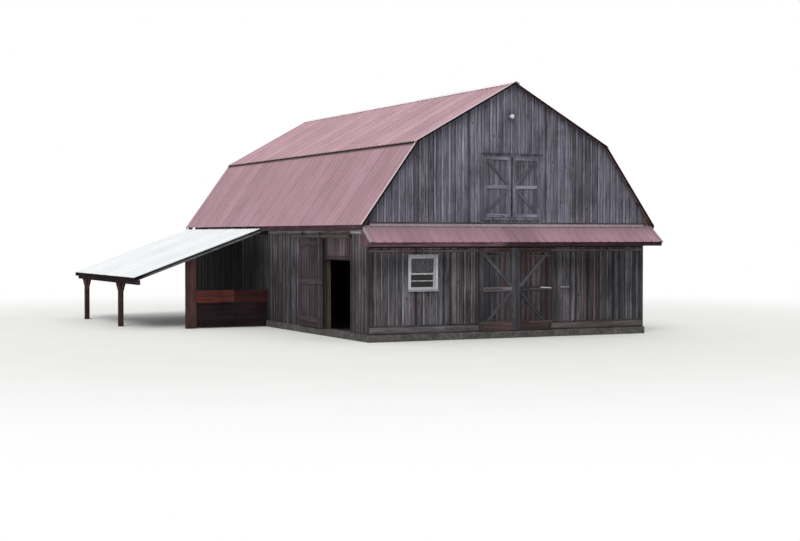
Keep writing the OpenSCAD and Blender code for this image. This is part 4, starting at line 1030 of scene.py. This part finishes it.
flashing = {"end": 4.829, "wing": 0.07, "foot": (0, -0.652, 2.7815), "lift": 0.0205, "long": 0.8,
            "fall": 0.03, "high": 0.062, "sheet": 0.002}
flashParts = []
for side in (-1, 1):
    outer = side * flashing["end"]
    inner = outer - side * flashing["wing"]
    begin = Vector(flashing["foot"]) + pentNormal * flashing["lift"]
    end = begin + pentSlope * flashing["long"]
    fall = pentNormal * flashing["fall"]
    for shift, normal, wide in ((right * (outer + inner) / 2, pentNormal, flashing["wing"]),
                                (right * outer - fall, right, flashing["high"])):
        flashParts.append(layBar(strips[0], begin + shift, end + shift, normal, wide, flashing["sheet"]))
addPiece("pentFlashing", flashParts, "barn", "red_metal", metal["flashing"])

apron = {"end": 4.57, "top": 3.3, "sheet": 0.0015, "lift": 0.0215, "off": 0.002, "wing": 0.09}
pentHead = (Vector((0, pent["edge"], pent["foot"])) + pentSlope * (-pent["edge"] / pentSlope.y)
            + pentNormal * apron["lift"])
upright = pentHead - back * apron["off"]
upright.z = (pentHead.z + apron["top"]) / 2
reach = right * apron["end"]
wing = pentHead - pentSlope * apron["wing"] / 2
apronParts = [layBar(bar, middle - reach, middle + reach, normal, wide, apron["sheet"])
              for middle, normal, wide in ((upright, back, apron["top"] - pentHead.z),
                                           (wing, pentNormal, apron["wing"]))]
addPiece("pentApron", apronParts, "barn", "red_metal", metal["flashing"])

latch = {"left": 0.93, "right": 1.29, "front": -0.037, "back": -0.03, "z": 1.458, "fall": 0.02, "high": 0.03}
latchY = (latch["front"] + latch["back"]) / 2
latchBar = layBar(bar, (latch["left"], latchY, latch["z"]),
                  (latch["right"], latchY, latch["z"] - latch["fall"]), back, latch["high"],
                  latch["back"] - latch["front"])
addPiece("latchBar", [latchBar], "right_leaf", "black_iron", zincIron)

cleat = {"left": 1.62, "right": 1.93, "z": 1.46, "high": 0.05, "deep": 0.022, "light": 1.6}
level = Vector((0, -cleat["deep"] / 2, cleat["z"]))
wallCleat = layBar(bar, level + right * cleat["left"], level + right * cleat["right"], back, cleat["high"],
                   cleat["deep"], 1.0, 0.0, cleat["light"])
addPiece("wallCleat", [wallCleat], "barn", "grey_boards", wood["gable"])

for pattern in (*planks, *strips, bar, screwHead):
    bpy.data.objects.remove(pattern, do_unlink=True)
print("small pieces fixed")


# CAD nodes that keep their shape: names, finish, softened edge

for names, finish, edge in (
        ("roof_lower_left roof_lower_right", metal["lower"], 0),
        ("roof_upper_left roof_upper_right", metal["upper"], 0),
        ("pent_roof", metal["pent"], 0), ("ridge_cap", metal["cap"], 0), ("leanto_roof", metal["white"], 0),
        ("rake_boards", wood["blackAcross"], 0.003), ("eave_fascias", wood["fascia"], 0.003),
        ("pent_fascia", wood["trimAcross"], 0.003), ("pent_brackets_set", wood["shadeZ"], 0.004),
        ("loft_door_trim", wood["loftTrim"], 0.003), ("window_frame", whitePaint, 0.002),
        ("window_sashes", sashPaint, 0.002), ("window_glass", glass, 0),
        ("straps_left straps_right", strapIron, 0.001), ("hinge_pintles", darkIron, 0.001),
        ("side_door_track", darkIron, 0.001), ("side_door_frame", wood["innerZ"], 0.004),
        ("leanto_rafters", wood["rafters"], 0.003), ("leanto_beams", wood["shadeY"], 0.005),
        ("leanto_posts", wood["redPosts"], 0.006),
        ("door_posts wall_posts centre_posts purlin_posts gable_studs", wood["innerZ"], 0.005),
        ("tie_beams", wood["innerX"], 0.005),
        ("sill_beams wall_girts loft_joists roof_beams roof_battens", wood["innerY"], 0.003),
        ("lower_rafters upper_rafters", wood["innerX"], 0.003), ("footing", stone, 0.012)):
    for name in names.split():
        dressNode(name, finish, edge)
print("frame dressed")


# Floor, light and camera: the floor fades to white between clear and gone

stage = {"floor": 400, "middle": (0, 7.85, 0), "centre": (1.0, -6.5, 0), "clear": 13.0, "gone": 30.0,
         "sky": 0.82, "horizon": 0.4, "sun": 1.7, "sunAngle": 32, "sunFrom": (-0.42, -0.6, 0.72)}
view = {"at": (-21.215, -36.53, 2.97), "down": 1.38, "turn": -25.71, "lens": 65.3, "sensor": 36, "far": 500}


def blendShaders(amount, first, second, output):
    tree = amount.tree
    blend = put(tree, "MixShader", {0: amount})
    for number, node in enumerate((first, second)):
        tree.links.new(node.outputs[0], blend.inputs[1 + number])
    tree.links.new(blend.outputs[0], tree.nodes[output].inputs["Surface"])


clearSelection()
bpy.ops.mesh.primitive_plane_add(size=stage["floor"], location=stage["middle"])
floor = settle("paleFloor")
paper, shader, place = startFinish("palePaper")
shader.inputs["Roughness"].default_value = 0.9
shader.inputs["Specular IOR Level"].default_value = 0.1
grain = place.noise(0.5, 3).between((0.78, 0.78, 0.77), (0.84, 0.84, 0.83))
grain.into(shader.inputs["Base Color"])
centred = place.put("Mapping", 0, {"Vector": place, "Location": stage["centre"]})
distance = place.put("VectorMath", "Value", {0: centred}, operation="LENGTH")
away = distance.grade(stage["clear"], stage["gone"]) * place.put("LightPath", "Is Camera Ray")
blendShaders(away, shader, put(place.tree, "Emission"), "Material Output")
floor.data.materials.append(paper)

world = bpy.data.worlds.new("softSky")
bpy.context.scene.world = world
world.use_nodes = True
tree = world.node_tree
sky, backdrop = tree.nodes["Background"], put(tree, "Background", {"Color": (1, 1, 1), "Strength": 1.0})
sky.inputs["Color"].default_value = (1, 1, 1, 1)
level = Field(tree, put(tree, "TexCoord").outputs["Generated"]).split()[2]
dome = level.grade(0.0, 1.0, stage["horizon"] * stage["sky"], stage["sky"])
dome.into(sky.inputs["Strength"])
seen, glossy, through = [level.put("LightPath", f"Is {kind} Ray")
                         for kind in ("Camera", "Glossy", "Transmission")]
blendShaders(seen.maths("MAXIMUM", glossy).maths("MAXIMUM", through), sky, backdrop, "World Output")

sunLight = bpy.data.lights.new("softSun", "SUN")
sunLight.energy = stage["sun"]
sunLight.angle = math.radians(stage["sunAngle"])
sun = addObject("softSun", sunLight)
sun.rotation_euler = Vector(stage["sunFrom"]).to_track_quat("Z", "Y").to_euler()

lens = bpy.data.cameras.new("photoView")
lens.sensor_width = view["sensor"]
lens.lens = view["lens"]
lens.clip_end = view["far"]
camera = addObject("photoView", lens)
camera.location = view["at"]
camera.rotation_euler = (math.radians(90 - view["down"]), 0, math.radians(view["turn"]))
bpy.context.scene.camera = camera
bpy.context.scene.view_settings.view_transform = "Standard"
print("stage lit")
